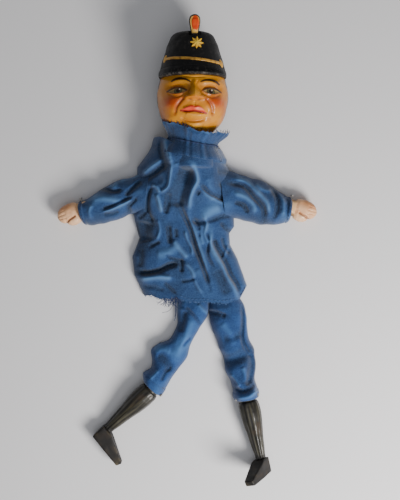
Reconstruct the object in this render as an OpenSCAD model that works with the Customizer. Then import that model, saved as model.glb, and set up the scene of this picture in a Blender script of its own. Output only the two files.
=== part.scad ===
// Glove puppet of a policeman with a carved head, a cloth tunic and dangling booted legs.
// It lies on its back: +Z up from the surface, +Y towards the head, +X to the viewer's right.
// All sizes in millimetres. The origin is the bottom centre of the whole puppet.

/* [Head] */
// Height of the neck axis above the surface
head_z = 30; // [29.5:0.1:30.2]
// Widest radius of the head block
head_r = 30.6; // [30.3:0.1:31]
// Radius of the turned neck
neck_r = 15.5; // [14.5:0.1:15.8]
// Radius of the finger hole in the neck
neck_bore_r = 9; // [8:0.1:10]
// Depth of the finger hole in the neck
neck_bore_l = 36; // [28:1:40]

/* [Hat] */
// Radius of the hat at its rim
rim_r = 29.4; // [28:0.1:30]
// Radius of the hat at its crown
crown_r = 18.6; // [17:0.1:20]
// Distance from the rim to the flat crown
hat_h = 38.8; // [36:0.2:39]
// How far the peak stands out in front of the rim
peak_reach = 9.5; // [7:0.5:11]
// Length of the plume from its foot to its tip
plume_l = 19; // [16:0.5:20]

/* [Cloth] */
// Thickness of the tunic and sleeve walls
cloth = 1.4; // [1.2:0.1:1.6]
// Height of the tunic over the belly
belly_z = 18.5; // [17:0.5:20]
// Height of the yoke over the neck
yoke_z = 48.6; // [48.2:0.1:49.4]
// Height of a sleeve as it lies
sleeve_h = 18.6; // [18.4:0.1:19]
// Height of a trouser leg as it lies
trouser_h = 14; // [12:0.5:14]

/* [Arms] */
// Half width of a sleeve at the shoulder
shoulder_w = 17.5; // [16.5:0.1:18]
// Half width of a sleeve at the elbow
elbow_w = 14; // [13:0.1:15]
// Half width of a sleeve at the cuff
cuff_w = 9.3; // [9.2:0.1:10]
// Distance from the shoulder to the elbow fold
upper_l = 27; // [25:0.5:29]
// Distance from the shoulder to the cuff
arm_l = 54; // [53:0.5:55]
// Distance from the shoulder to the finger tips
hand_reach = 74; // [73.8:0.1:74.2]
// Radius of the hollow stub of a hand
stub_r = 7.6; // [7:0.1:7.6]
// Radius of the finger hole in a hand
hand_bore_r = 5.6; // [5:0.1:5.9]

/* [Legs] */
// Largest radius of a turned boot leg
calf_r = 9.3; // [8.8:0.1:9.4]
// Radius of a boot leg at the ankle
ankle_r = 4.4; // [4:0.1:5]
// Length of a boot leg that shows below the trousers
boot_l = 53.5; // [53:0.1:54]
// Length of a boot leg held inside the trousers
boot_in = 9; // [8:0.5:9.5]
// Width of a shoe
shoe_w = 12; // [11:0.5:12]

/* [Hidden] */
$fn = 48;

// Gap kept between pieces that move past each other
gap = 0.4;
// Small overshoot that makes cuts clean
eps = 0.5;

// Colours
cloth_blue = [0.25, 0.42, 0.62];
wood_ochre = [0.84, 0.60, 0.25];
wood_flesh = [0.90, 0.70, 0.50];
paint_black = [0.07, 0.07, 0.07];
paint_gold = [0.78, 0.58, 0.20];
paint_red = [0.86, 0.30, 0.10];
steel_grey = [0.55, 0.55, 0.55];

// Places along the head's axis
head_x = 5;
neck_end_y = 76;
groove_y = 92;
chin_y = 104;
rim_y = 151.2;
hat_seat_r = 13;
hat_seat_l = 12;

// Hat: the side runs straight between two heights above the rim
side_low_h = 4;
side_mid_h = 16;
side_high_h = 28;
side_mid_r = 25.8;
side_high_r = 22;
crown_edge = 3.6;
// Slope of the hat's side near the band, as radius lost per millimetre of height
side_slope = (rim_r - side_mid_r) / (side_mid_h - side_low_h);
band_low = 12;
band_h = 3.2;
band_t = 0.7;
button_r = 3.8;
button_turn = 62;
button_t = 1.6;
peak_t = 2;
peak_lip = 0.6;

// Plume: its foot, and the peg that holds it in the crown
plume_x = 6.9;
plume_z = 45.2;
plume_foot_y = 184.6;
plume_t = 4;
peg_r = 1.5;
peg_l = 8;

// Joinery of the boots and the fit round pins and tacks
fit = 0.05;
boot_in_r = 7.2;
dowel_r = 2;
dowel_l = 17;
tack_turns = [20, 90, 160];

// Outline of the tunic as it lies, starting at the hem's left corner
tunic_plan = [
    [-37.5, -41], [-10, -40], [-4, -44.5], [46.5, -45.5], [53.5, -31], [45, -6], [38.5, 6.5],
    [38, 17], [41.5, 24], [41, 72], [35, 80], [31.5, 90], [-20, 90], [-30.5, 86], [-44, 74],
    [-47.5, 34], [-43, 12.5], [-49, -4], [-47.5, -20.5]];
// Height of the tunic along its length, as pairs of place and height
tunic_side = [[-50, belly_z], [12, belly_z], [28, 22], [50, yoke_z - 1.5], [58, yoke_z], [94, yoke_z]];

// Arms: shoulder pivot and lie of each arm below the horizontal, left then right
shoulder_left = [-45, 53.3];
shoulder_right = [43.3, 51.5];
arm_dip_left = 18.5;
arm_dip_right = 13.6;
swing_up = 45;
swing_down = 30;
arm_z = 9.5;
stub_start = 38;

// Trousers: outlines as they lie
hip_y = -60.3;
seat_plan = [
    [-9, -46], [-9, hip_y + gap / 2], [17, hip_y + gap / 2], [18.8, -57], [20.6, hip_y + gap / 2],
    [52.4, hip_y + gap / 2], [50, -46]];
waist_plan = [[-9, -46.5], [43.4, -46.5], [43.4, -37], [-7, -37]];
thigh_left_plan = [
    [-9, hip_y - gap / 2], [-9.5, -64], [-18, -78], [-31.4, -86], [-31.5, -94.9], [-9.9, -110.6],
    [-0.4, -93.3], [9.8, -74], [17, hip_y - gap / 2]];
thigh_right_plan = [
    [20.6, hip_y - gap / 2], [27.6, -84], [34, -109.8], [61.3, -104], [59.6, -85], [53.2, -69],
    [52.4, hip_y - gap / 2]];
shin_left_plan = [
    [-31.8, -95.4], [-38.4, -108.4], [-38.4, -115], [-25.4, -125.2], [-16.6, -117.1], [-10.2, -111.1]];
shin_right_plan = [
    [34.2, -110.5], [40.9, -119], [42.1, -131.8], [62.5, -127.1], [62, -121.3], [61.5, -104.7]];

// Boots: where each boot leg leaves its trouser, its turn about Z, its tilt and its roll
boot_left = [-31.8, -121.7, 10.1];
boot_right = [53.8, -131.6, 9.5];
boot_turn_left = -47.4;
boot_turn_right = 12.65;
boot_tilt_left = 3.4;
boot_tilt_right = 0.4;
boot_roll_left = 90;
boot_roll_right = -29.5;

// Moves every corner of a closed outline inwards by a distance
function edge_normal(a, b) = [a.y - b.y, b.x - a.x] / norm(b - a);
function inset(p, d) = [
    for (i = [0 : len(p) - 1])
        let (n = len(p))
        let (m = edge_normal(p[(i + n - 1) % n], p[i]))
        let (k = edge_normal(p[i], p[(i + 1) % n]))
        p[i] + d * (m + k) / (1 + m * k)];

// Turns a profile drawn upwards along Z so that it runs along +Y from a given place
module along_y(y, x = head_x, z = head_z) {
    translate([x, y, z]) rotate([-90, 0, 0]) children();
}

// ---- Tunic ----

module tunic_block(top, plan) {
    profile = concat([[top[0].x, cloth]], top, [[top[len(top) - 1].x, cloth]]);
    intersection() {
        translate([0, 0, cloth]) linear_extrude(yoke_z) polygon(plan);
        translate([-70, 0, 0]) rotate([90, 0, 90]) linear_extrude(140) polygon(profile);
    }
}

// Space that an arm sweeps in front of the tunic
module arm_sweep(pivot, dip, side) {
    translate([pivot.x, pivot.y, -eps]) {
        cylinder(r = shoulder_w + gap, h = yoke_z + 2);
        for (a = [swing_up - dip, -swing_down - dip])
            rotate([0, 0, side > 0 ? a : 180 - a]) linear_extrude(yoke_z + 2)
                polygon([
                    [-2, -shoulder_w - gap / 2], [upper_l, -elbow_w - gap - 1.5],
                    [upper_l, elbow_w + gap + 1.5], [-2, shoulder_w + gap / 2]]);
    }
}

module arm_sweeps() {
    arm_sweep(shoulder_left, arm_dip_left, -1);
    arm_sweep(shoulder_right, arm_dip_right, 1);
}

module tunic_front() {
    hem_y = -60;
    color(cloth_blue) difference() {
        tunic_block(tunic_side, tunic_plan);
        tunic_block([for (q = tunic_side) [q.x, q.y - cloth]], inset(tunic_plan, cloth));
        translate([-35, hem_y, 0]) cube([79, 30, belly_z - cloth]);
        translate([-18.5, 80, 0]) cube([48.6, 20, yoke_z - cloth]);
        arm_sweeps();
    }
}

module tunic_back() {
    color(cloth_blue) difference() {
        linear_extrude(cloth) polygon(tunic_plan);
        arm_sweeps();
    }
}

module trouser_seat() {
    seat_bottom = 6;
    color(cloth_blue) union() {
        translate([0, 0, seat_bottom]) linear_extrude(trouser_h - seat_bottom) polygon(seat_plan);
        translate([0, 0, trouser_h - 3]) linear_extrude(belly_z - cloth - trouser_h + 3) polygon(waist_plan);
    }
}

// ---- Collar ----

module collar() {
    foot_r = neck_r + 2.4;
    flare = 8;
    collar_h = 18;
    color(cloth_blue) intersection() {
        along_y(91) rotate_extrude() polygon([
            [foot_r, 0], [foot_r + cloth, 0], [foot_r + cloth, 3], [foot_r + cloth + flare, collar_h],
            [foot_r + flare, collar_h], [foot_r, 3]]);
        // The top edge slopes down to the viewer's right
        translate([head_x, 105.5, 0]) rotate([0, 0, -11]) translate([-40, -40, -1]) cube([80, 40, 70]);
    }
}

module collar_cord() {
    cord_r = 0.7;
    color(cloth_blue) along_y(groove_y) rotate_extrude() translate([neck_r + 2.4 + cloth + cord_r, 0])
        circle(r = cord_r, $fn = 24);
}

// ---- Head ----

module head_block() {
    color(wood_ochre) difference() {
        union() {
            along_y(0) rotate_extrude() polygon([
                [0, neck_end_y], [neck_r + 1, neck_end_y], [neck_r + 1, neck_end_y + 5],
                [neck_r - 1, neck_end_y + 7], [neck_r - 1, groove_y + 3], [neck_r, groove_y + 5],
                [neck_r, chin_y], [20.5, chin_y + 4], [25, chin_y + 9], [28.6, chin_y + 17],
                [30.2, chin_y + 26], [head_r, chin_y + 33], [30.2, chin_y + 39], [28, rim_y - 1],
                [28, rim_y], [hat_seat_r, rim_y], [hat_seat_r, rim_y + hat_seat_l],
                [0, rim_y + hat_seat_l]]);
            // Chin, nose, cheeks and ears
            translate([8, 114, 46]) sphere(r = 8.3);
            translate([8, 131.5, 58.5]) sphere(r = 5.6);
            translate([7.6, 131.5, 58]) rotate([-81, 0, 0]) cylinder(r1 = 4.6, r2 = 2.4, h = 11);
            for (side = [-1, 1]) {
                translate([head_x + 1.5 + side * 12, 125, 49]) sphere(r = 9);
                translate([head_x + side * 29.4, 134, 29]) sphere(r = 6);
            }
        }
        along_y(neck_end_y - eps) cylinder(r = neck_bore_r, h = neck_bore_l + eps);
        translate([-60, 60, -20]) cube([120, 120, 20]);
    }
}

module shako() {
    color(paint_black) difference() {
        along_y(rim_y) rotate_extrude() polygon([
            [0, 0], [rim_r, 0], [rim_r, side_low_h], [side_mid_r, side_mid_h],
            [side_high_r, side_high_h], [crown_r, hat_h - 3], [crown_r - crown_edge, hat_h], [0, hat_h]]);
        along_y(rim_y - eps) cylinder(r = hat_seat_r + fit, h = hat_seat_l + eps + 0.3);
        // Hole for the plume's peg and notch for its foot
        along_y(plume_foot_y - peg_l, plume_x, plume_z) cylinder(r = peg_r + fit, h = 20);
        translate([plume_x - 5, plume_foot_y, plume_z - plume_t / 2 + 0.2]) cube([10, 12, 12]);
        translate([-60, 60, -20]) cube([120, 200, 20]);
    }
}

module peak() {
    color(paint_black) along_y(rim_y, 0) difference() {
        intersection() {
            translate([head_x, -peak_reach, -peak_t]) cylinder(r = rim_r, h = peak_t);
            translate([head_x - 40, -60, -3]) cube([80, 46, 4]);
        }
        // The peak is held by a narrow lip under the rim
        translate([head_x, 0, -3]) cylinder(r = rim_r - peak_lip, h = 4);
    }
}

// The shako's radius near the band and near the badge, at a height above the rim
function band_side_r(h) = rim_r - (h - side_low_h) * side_slope;
function badge_side_r(h) = side_mid_r
    - (h - side_mid_h) * (side_mid_r - side_high_r) / (side_high_h - side_mid_h);

module hat_band() {
    low_r = band_side_r(band_low);
    high_r = band_side_r(band_low + band_h);
    // The band runs across the front between the two buttons
    color(paint_gold) along_y(rim_y + band_low) rotate([0, 0, -90 - button_turn])
        rotate_extrude(angle = 2 * button_turn) polygon([
            [low_r + 0.02, 0], [low_r + band_t, 0], [high_r + band_t, band_h], [high_r + 0.02, band_h]]);
}

module band_buttons() {
    mid_h = band_low + band_h / 2;
    // Each button leans with the hat's side and stands on the band
    color(paint_gold) for (side = [-1, 1])
        translate([head_x, rim_y + mid_h, head_z]) rotate([0, side * (button_turn + 2), 0])
            translate([0, 0, band_side_r(mid_h) + band_t + fit]) rotate([-atan(side_slope), 0, 0])
                cylinder(r = button_r, h = button_t);
}

module star_badge() {
    points = 8;
    outer = 6;
    inner = 3.2;
    color(paint_gold) translate([8.5, 178.4, head_z + badge_side_r(27) + 0.15]) rotate([-17, 3, 0])
        linear_extrude(0.8) polygon([
            for (i = [0 : 2 * points - 1])
                (i % 2 == 0 ? outer : inner) * [sin(i * 180 / points), cos(i * 180 / points)]]);
}

module plume_outline(grow, h) {
    translate([plume_x, plume_foot_y, plume_z]) linear_extrude(h) union() {
        translate([0, plume_l - 5]) circle(r = 5 + grow);
        polygon([[-3 - grow, 0], [3 + grow, 0], [5 + grow, plume_l - 5], [-5 - grow, plume_l - 5]]);
    }
}

module plume() {
    color(paint_red) difference() {
        union() {
            translate([0, 0, -1.5]) plume_outline(0, plume_t);
            along_y(plume_foot_y - peg_l, plume_x, plume_z) cylinder(r = peg_r, h = peg_l + eps);
        }
        translate([0, 0, 1.7]) plume_outline(-1.6, 2);
    }
}

module plume_core() {
    color(paint_red) translate([0, 0, 1.7]) plume_outline(-1.65, 1.2);
}

// ---- Arms ----

// Puts an arm drawn along +X from its shoulder at its place
module arm_place(side) {
    pivot = side > 0 ? shoulder_right : shoulder_left;
    dip = side > 0 ? arm_dip_right : arm_dip_left;
    translate([pivot.x, pivot.y, 0]) rotate([0, 0, side > 0 ? -dip : 180 + dip]) children();
}

// Half width of a sleeve at a distance from the shoulder
function sleeve_w(s) = s < upper_l ? shoulder_w + (elbow_w - shoulder_w) * s / upper_l
    : elbow_w + (cuff_w - elbow_w) * (s - upper_l) / (arm_l - upper_l);

module sleeve_plan(from, to, wall) {
    polygon([
        [from, -sleeve_w(from) + wall], [to, -sleeve_w(to) + wall],
        [to, sleeve_w(to) - wall], [from, sleeve_w(from) - wall]]);
}

module sleeve_upper(side) {
    color(cloth_blue) arm_place(side) difference() {
        translate([0, 0, 0.3]) linear_extrude(sleeve_h) union() {
            circle(r = shoulder_w);
            sleeve_plan(0, upper_l - gap / 2, 0);
        }
        translate([0, 0, 0.3 + cloth]) linear_extrude(sleeve_h - 2 * cloth) union() {
            circle(r = shoulder_w - cloth);
            sleeve_plan(0, upper_l + 1, cloth);
            translate([-shoulder_w - 1, -shoulder_w + 4]) square([shoulder_w, 2 * shoulder_w - 8]);
        }
    }
}

module sleeve_lower(side) {
    color(cloth_blue) arm_place(side) difference() {
        translate([0, 0, 0.3]) linear_extrude(sleeve_h) sleeve_plan(upper_l + gap / 2, arm_l, 0);
        translate([0, 0, 0.3 + cloth]) linear_extrude(sleeve_h - 2 * cloth)
            sleeve_plan(upper_l - 1, arm_l + 1, cloth);
        for (turn = [-1, 1]) hand_tack(turn, fit);
    }
}

module hand_tack(turn, extra) {
    translate([arm_l - 5, turn * (cuff_w + 1), arm_z]) rotate([turn * 90, 0, 0]) {
        cylinder(r = 0.6 + extra, h = 4, $fn = 16);
        translate([0, 0, -0.6]) cylinder(r = 1.5 + extra, h = 0.8, $fn = 24);
    }
}

module hand(side) {
    color(wood_flesh) arm_place(side) difference() {
        translate([0, 0, arm_z]) difference() {
            union() {
                translate([stub_start, 0, 0]) rotate([0, 90, 0]) cylinder(r = stub_r, h = arm_l - stub_start + 1);
                intersection() {
                    hull() {
                        for (y = [-4.2, 4.2]) translate([arm_l + 5.9, y, 0]) sphere(r = 5.8, $fn = 32);
                        translate([hand_reach - 5.5, 0, 0]) sphere(r = 5.5, $fn = 32);
                    }
                    translate([arm_l + 0.2, -20, -20]) cube([40, 40, 40]);
                }
            }
            // Notch between thumb and fingers
            translate([arm_l + 16.5, side * -8, -10]) cylinder(r = 1.7, h = 20, $fn = 24);
            translate([stub_start - eps, 0, 0]) rotate([0, 90, 0]) cylinder(r = hand_bore_r, h = 24 + eps);
        }
        for (turn = [-1, 1]) hand_tack(turn, fit);
    }
}

module hand_tacks(side) {
    color(steel_grey) arm_place(side) intersection() {
        union() {
            for (turn = [-1, 1]) hand_tack(turn, 0);
        }
        translate([0, 0, arm_z]) difference() {
            cube([200, 200, 20], center = true);
            rotate([0, 90, 0]) cylinder(r = hand_bore_r + 0.4, h = 100);
        }
    }
}

// ---- Legs ----

module trouser_thigh(plan) {
    color(cloth_blue) translate([0, 0, 0.5]) linear_extrude(trouser_h - 0.5) polygon(plan);
}

// Puts a boot drawn along -Y from the trouser's edge at its place
module boot_place(side, roll) {
    translate(side > 0 ? boot_right : boot_left)
        rotate([0, 0, side > 0 ? boot_turn_right : boot_turn_left])
        rotate([side > 0 ? boot_tilt_right : boot_tilt_left, 0, 0])
        rotate([0, roll ? (side > 0 ? boot_roll_right : boot_roll_left) : 0, 0]) children();
}

module trouser_shin(plan, side) {
    color(cloth_blue) difference() {
        union() {
            translate([0, 0, 0.5]) linear_extrude(trouser_h - 0.5) polygon(plan);
            intersection() {
                boot_place(side, false) translate([0, -1, 0]) rotate([-90, 0, 0])
                    cylinder(r = calf_r + 1, h = boot_in + 4);
                translate([-100, -200, 0.1]) cube([200, 200, 30]);
            }
        }
        boot_place(side, false) translate([0, boot_in, 0]) rotate([90, 0, 0])
            cylinder(r = boot_in_r + fit, h = 40);
        for (turn = tack_turns) boot_tack(side, turn, fit);
    }
}

module boot_tack(side, turn, extra) {
    boot_place(side, false) translate([0, 3, 0]) rotate([0, -turn, 0]) translate([calf_r + 0.6, 0, 0])
        rotate([0, -90, 0]) {
            cylinder(r = 0.6 + extra, h = 6, $fn = 16);
            translate([0, 0, -0.9]) cylinder(r = 1.5 + extra, h = 0.9, $fn = 24);
        }
}

module boot_leg(side) {
    color(paint_black) difference() {
        boot_place(side, false) rotate([90, 0, 0]) rotate_extrude() polygon([
            [0, -boot_in], [boot_in_r, -boot_in], [boot_in_r, 1.5], [calf_r - 1, 1.5], [calf_r - 0.2, 5],
            [calf_r, 11], [calf_r - 0.8, 20], [calf_r - 2.6, 32], [ankle_r + 1, 44], [ankle_r, 50],
            [ankle_r, boot_l], [0, boot_l]]);
        boot_place(side, false) translate([0, -boot_l + 10, 0]) rotate([90, 0, 0])
            cylinder(r = dowel_r + fit, h = 20);
        for (turn = tack_turns) boot_tack(side, turn, fit);
    }
}

module ankle_dowel(side) {
    color(wood_flesh) boot_place(side, false) translate([0, -boot_l + 9.5, 0]) rotate([90, 0, 0])
        cylinder(r = dowel_r, h = dowel_l);
}

module shoe(side) {
    toe_w = 8.5;
    color(paint_black) difference() {
        boot_place(side, true) translate([0, -boot_l, 0]) intersection() {
            // Side view: heel, sole, toe and sloping upper
            rotate([90, 0, -90]) translate([0, 0, -shoe_w / 2]) linear_extrude(shoe_w)
                polygon([[0, -4.6], [13.4, -4.4], [16, 29.2], [11.2, 31], [0.3, 5.8]]);
            // Plan: the toe is narrower than the heel
            rotate([90, 0, 0]) linear_extrude(20) polygon([
                [-shoe_w / 2, -6], [shoe_w / 2, -6], [shoe_w / 2, 12], [toe_w / 2, 32], [-toe_w / 2, 32],
                [-shoe_w / 2, 12]]);
        }
        boot_place(side, false) translate([0, -boot_l + 1, 0]) rotate([90, 0, 0])
            cylinder(r = dowel_r + fit, h = 9);
    }
}

module boot_tacks(side) {
    color(steel_grey) for (turn = tack_turns) boot_tack(side, turn, 0);
}

tunic_front();
tunic_back();
trouser_seat();
collar();
collar_cord();
head_block();
shako();
peak();
hat_band();
band_buttons();
star_badge();
plume();
plume_core();
sleeve_upper(-1);  // sleeve_upper_left
sleeve_lower(-1);  // sleeve_lower_left
hand(-1);  // hand_left
hand_tacks(-1);  // hand_tacks_left
sleeve_upper(1);  // sleeve_upper_right
sleeve_lower(1);  // sleeve_lower_right
hand(1);  // hand_right
hand_tacks(1);  // hand_tacks_right
trouser_thigh(thigh_left_plan);  // trouser_thigh_left
trouser_shin(shin_left_plan, -1);  // trouser_shin_left
boot_leg(-1);  // boot_leg_left
ankle_dowel(-1);  // ankle_dowel_left
shoe(-1);  // shoe_left
boot_tacks(-1);  // boot_tacks_left
trouser_thigh(thigh_right_plan);  // trouser_thigh_right
trouser_shin(shin_right_plan, 1);  // trouser_shin_right
boot_leg(1);  // boot_leg_right
ankle_dowel(1);  // ankle_dowel_right
shoe(1);  // shoe_right
boot_tacks(1);  // boot_tacks_right
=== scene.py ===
import math

import bpy
import numpy as np
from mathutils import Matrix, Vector


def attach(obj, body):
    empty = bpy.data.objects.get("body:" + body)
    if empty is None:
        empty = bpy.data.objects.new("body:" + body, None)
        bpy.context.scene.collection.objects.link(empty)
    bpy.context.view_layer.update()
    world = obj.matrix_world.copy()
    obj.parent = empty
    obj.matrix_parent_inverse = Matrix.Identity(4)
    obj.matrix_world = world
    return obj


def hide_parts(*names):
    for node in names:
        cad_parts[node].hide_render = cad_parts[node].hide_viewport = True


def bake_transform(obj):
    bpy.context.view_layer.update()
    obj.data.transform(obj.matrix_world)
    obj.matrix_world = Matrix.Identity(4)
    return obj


# The puppet's looks. Lengths in the code below are in millimetres unless a name ends in _m.
# The frame is the CAD's: +X to the viewer's right, +Y towards the head, +Z up.
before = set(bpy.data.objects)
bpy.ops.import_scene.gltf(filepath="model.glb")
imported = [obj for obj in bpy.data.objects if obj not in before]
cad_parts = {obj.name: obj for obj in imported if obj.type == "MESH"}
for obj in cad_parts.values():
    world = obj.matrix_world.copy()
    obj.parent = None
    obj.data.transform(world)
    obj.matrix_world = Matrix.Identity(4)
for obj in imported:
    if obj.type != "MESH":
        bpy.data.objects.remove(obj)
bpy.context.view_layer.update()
MM = 0.001

# ---------------------------------------------------------------- camera, light, floor

cam_data = bpy.data.cameras.new("camera")
cam_data.lens = 72
cam_data.sensor_width = 36
cam_data.sensor_height = 36
cam_data.sensor_fit = "VERTICAL"
cam = bpy.data.objects.new("camera", cam_data)
bpy.context.scene.collection.objects.link(cam)
cam.location = (0.0114, 0.0018, 0.9)
bpy.context.scene.camera = cam


def area_light(name, place, aim, size, energy, colour):
    data = bpy.data.lights.new(name, "AREA")
    data.shape = "DISK"
    data.size = size
    data.energy = energy
    data.color = colour
    ob = bpy.data.objects.new(name, data)
    bpy.context.scene.collection.objects.link(ob)
    ob.location = place
    ob.rotation_euler = (Vector(aim) - Vector(place)).to_track_quat("-Z", "Y").to_euler()


area_light("key", (0.46, -0.50, 0.52), (0.0, 0.0, 0.0), 0.34, 11.5, (1.0, 0.97, 0.93))
area_light("fill", (0.10, -0.40, 1.20), (0.0, 0.0, 0.0), 0.90, 3.0, (0.97, 0.98, 1.0))

world = bpy.data.worlds.new("world")
world.use_nodes = True
world.node_tree.nodes["Background"].inputs["Color"].default_value = (0.97, 0.98, 1.0, 1)
world.node_tree.nodes["Background"].inputs["Strength"].default_value = 0.24
bpy.context.scene.world = world

# ---------------------------------------------------------------- materials


def rgb(r, g, b):
    """A linear colour from 0..255 display values."""
    out = []
    for c in (r, g, b):
        c = c / 255
        out.append(c / 12.92 if c <= 0.04045 else ((c + 0.055) / 1.055) ** 2.4)
    return (*out, 1.0)


class Nodes:
    """A few helpers that keep a material's node tree short."""

    def __init__(self, name):
        self.mat = bpy.data.materials.new(name)
        self.mat.use_nodes = True
        self.tree = self.mat.node_tree
        self.out = self.tree.nodes["Principled BSDF"]
        self.coords = self.tree.nodes.new("ShaderNodeTexCoord").outputs["Object"]

    def set(self, **values):
        for k, v in values.items():
            self.put(self.out.inputs[k.replace("_", " ")], v)

    def noise(self, scale, detail=3.0, rough=0.55, stretch=(1, 1, 1)):
        m = self.tree.nodes.new("ShaderNodeMapping")
        m.inputs["Scale"].default_value = stretch
        self.tree.links.new(self.coords, m.inputs["Vector"])
        n = self.tree.nodes.new("ShaderNodeTexNoise")
        n.inputs["Scale"].default_value = scale
        n.inputs["Detail"].default_value = detail
        n.inputs["Roughness"].default_value = rough
        self.tree.links.new(m.outputs["Vector"], n.inputs["Vector"])
        return n.outputs["Fac"]

    def attribute(self, name, colour=False):
        a = self.tree.nodes.new("ShaderNodeAttribute")
        a.attribute_name = name
        return a.outputs["Color" if colour else "Fac"]

    def put(self, socket, value):
        if isinstance(value, bpy.types.NodeSocket):
            self.tree.links.new(value, socket)
        else:
            socket.default_value = value

    def math(self, kind, a, b=0.0, clamp=False):
        n = self.tree.nodes.new("ShaderNodeMath")
        n.operation = kind
        n.use_clamp = clamp
        self.put(n.inputs[0], a)
        self.put(n.inputs[1], b)
        return n.outputs[0]

    def remap(self, value, lo, hi, to_lo=0.0, to_hi=1.0):
        n = self.tree.nodes.new("ShaderNodeMapRange")
        n.inputs["From Min"].default_value = lo
        n.inputs["From Max"].default_value = hi
        n.inputs["To Min"].default_value = to_lo
        n.inputs["To Max"].default_value = to_hi
        self.tree.links.new(value, n.inputs["Value"])
        return n.outputs["Result"]

    def mix(self, factor, a, b, kind="MIX"):
        n = self.tree.nodes.new("ShaderNodeMix")
        n.data_type = "RGBA"
        n.blend_type = kind
        self.put(n.inputs["Factor"], factor)
        self.put(n.inputs[6], a)
        self.put(n.inputs[7], b)
        return n.outputs[2]

    def bump(self, height, strength, distance_mm, under=None):
        n = self.tree.nodes.new("ShaderNodeBump")
        n.inputs["Strength"].default_value = strength
        n.inputs["Distance"].default_value = distance_mm * MM
        self.tree.links.new(height, n.inputs["Height"])
        if under is not None:
            self.tree.links.new(under, n.inputs["Normal"])
        return n.outputs["Normal"]

    def weave(self, pitch_mm):
        """Plain weave: warp and weft rise in turn, from the piece's flat coordinates in metres."""
        a = self.tree.nodes.new("ShaderNodeUVMap")
        a.uv_map = "flat"
        s = self.tree.nodes.new("ShaderNodeSeparateXYZ")
        self.tree.links.new(a.outputs["UV"], s.inputs[0])
        k = 2 * math.pi / (pitch_mm * MM)
        u = self.math("SINE", self.math("MULTIPLY", s.outputs[0], k))
        v = self.math("SINE", self.math("MULTIPLY", s.outputs[1], k))
        return self.math("MULTIPLY", u, v)


def cloth_material(name, deep, mid, pale, dust):
    n = Nodes(name)
    wear = n.attribute("wear")
    patches = n.noise(28, 4, 0.6)
    grain = n.noise(900, 2, 0.7)
    # Deep, mid and pale by the attribute: faded ridges come out pale, and fold valleys come out deep as
    # painted shade
    colour = n.mix(n.remap(wear, 0.08, 0.5), deep, mid)
    colour = n.mix(n.remap(wear, 0.5, 1.0), colour, pale)
    colour = n.mix(n.remap(patches, 0.42, 0.66, 0.0, 0.35), colour, dust)
    colour = n.mix(n.remap(grain, 0.35, 0.7, 0.0, 0.28), colour, pale)
    weave = n.weave(0.72)
    colour = n.mix(n.remap(weave, 0.2, 1.0, 0.0, 0.22), colour, pale)
    normal = n.bump(weave, 0.35, 0.10)
    normal = n.bump(n.noise(420, 3, 0.6), 0.35, 0.25, normal)
    n.set(Base_Color=colour, Roughness=0.88, Normal=normal)
    n.set(Sheen_Weight=0.25, Sheen_Roughness=0.5, Specular_IOR_Level=0.25)
    return n.mat


tunic_cloth = cloth_material(
    "tunic_cloth", rgb(3, 9, 34), rgb(20, 50, 96), rgb(74, 114, 160), rgb(34, 62, 104))
trouser_cloth = cloth_material(
    "trouser_cloth", rgb(3, 12, 44), rgb(16, 50, 102), rgb(66, 112, 164), rgb(26, 62, 112))
# The inner side of the cloth: a darker copy of the blue cloth, painted shade inside the openings
shaded_inner_cloth = cloth_material(
    "shaded_inner_cloth", rgb(6, 10, 26), rgb(14, 24, 50), rgb(34, 48, 80), rgb(20, 30, 56))


def thread_material(name, colour):
    n = Nodes(name)
    twist = n.noise(2400, 1, 0.5)
    n.set(Base_Color=n.mix(n.remap(twist, 0.3, 0.7, 0, 0.5), colour, rgb(58, 74, 108)))
    n.set(Roughness=0.9, Normal=n.bump(twist, 0.4, 0.08))
    return n.mat


navy_thread = thread_material("navy_thread", rgb(18, 34, 76))
pale_thread = thread_material("pale_thread", rgb(66, 96, 140))


def painted(name, varnish, rough, wood=rgb(150, 96, 40), chips=0.62, stroke=(1, 1, 1)):
    """Paint from the piece's own colour attribute, with thin places, brush strokes and varnish."""
    n = Nodes(name)
    colour = n.attribute("paint", colour=True)
    mottled = n.mix(n.remap(n.noise(55, 5, 0.65), 0.35, 0.72, 0.0, 0.30), colour, wood, "MULTIPLY")
    worn = n.math("MULTIPLY", n.remap(n.noise(260, 5, 0.7), chips, chips + 0.08), n.attribute("wear"), True)
    colour = n.mix(worn, mottled, wood)
    strokes = n.noise(150, 3, 0.6, stroke)
    normal = n.bump(strokes, 0.30, 0.45)
    normal = n.bump(n.noise(700, 2, 0.5), 0.18, 0.12, normal)
    n.set(Base_Color=colour, Normal=normal, Specular_IOR_Level=0.28)
    n.set(Roughness=n.remap(n.noise(120, 3, 0.6), 0.3, 0.7, rough - 0.08, rough + 0.12))
    n.set(Coat_Weight=varnish, Coat_Roughness=0.16)
    return n.mat


head_paint = painted("head_paint", 0.22, 0.38, wood=rgb(206, 138, 44), chips=0.64)
hat_paint = painted("hat_paint", 0.0, 0.50, wood=rgb(66, 62, 58), chips=0.56, stroke=(1, 3, 1))
gold_paint = painted("gold_paint", 0.3, 0.40, wood=rgb(150, 92, 34), chips=0.6)
plume_paint = painted("plume_paint", 0.35, 0.42, wood=rgb(196, 130, 60), chips=0.6)
hand_paint = painted("hand_paint", 0.25, 0.45, wood=rgb(180, 116, 62), chips=0.6)
boot_paint = painted("boot_paint", 0.12, 0.40, wood=rgb(84, 78, 58), chips=0.66, stroke=(3, 1, 3))
shoe_paint = painted("shoe_paint", 0.05, 0.60, wood=rgb(62, 52, 40), chips=0.66)


def plain(name, colour, rough, metal=0.0):
    n = Nodes(name)
    spots = n.noise(500, 3, 0.6)
    n.set(Base_Color=n.mix(n.remap(spots, 0.4, 0.7, 0, 0.35), colour, rgb(90, 84, 76)))
    n.set(Roughness=rough, Metallic=metal, Normal=n.bump(spots, 0.2, 0.1))
    return n.mat


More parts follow.
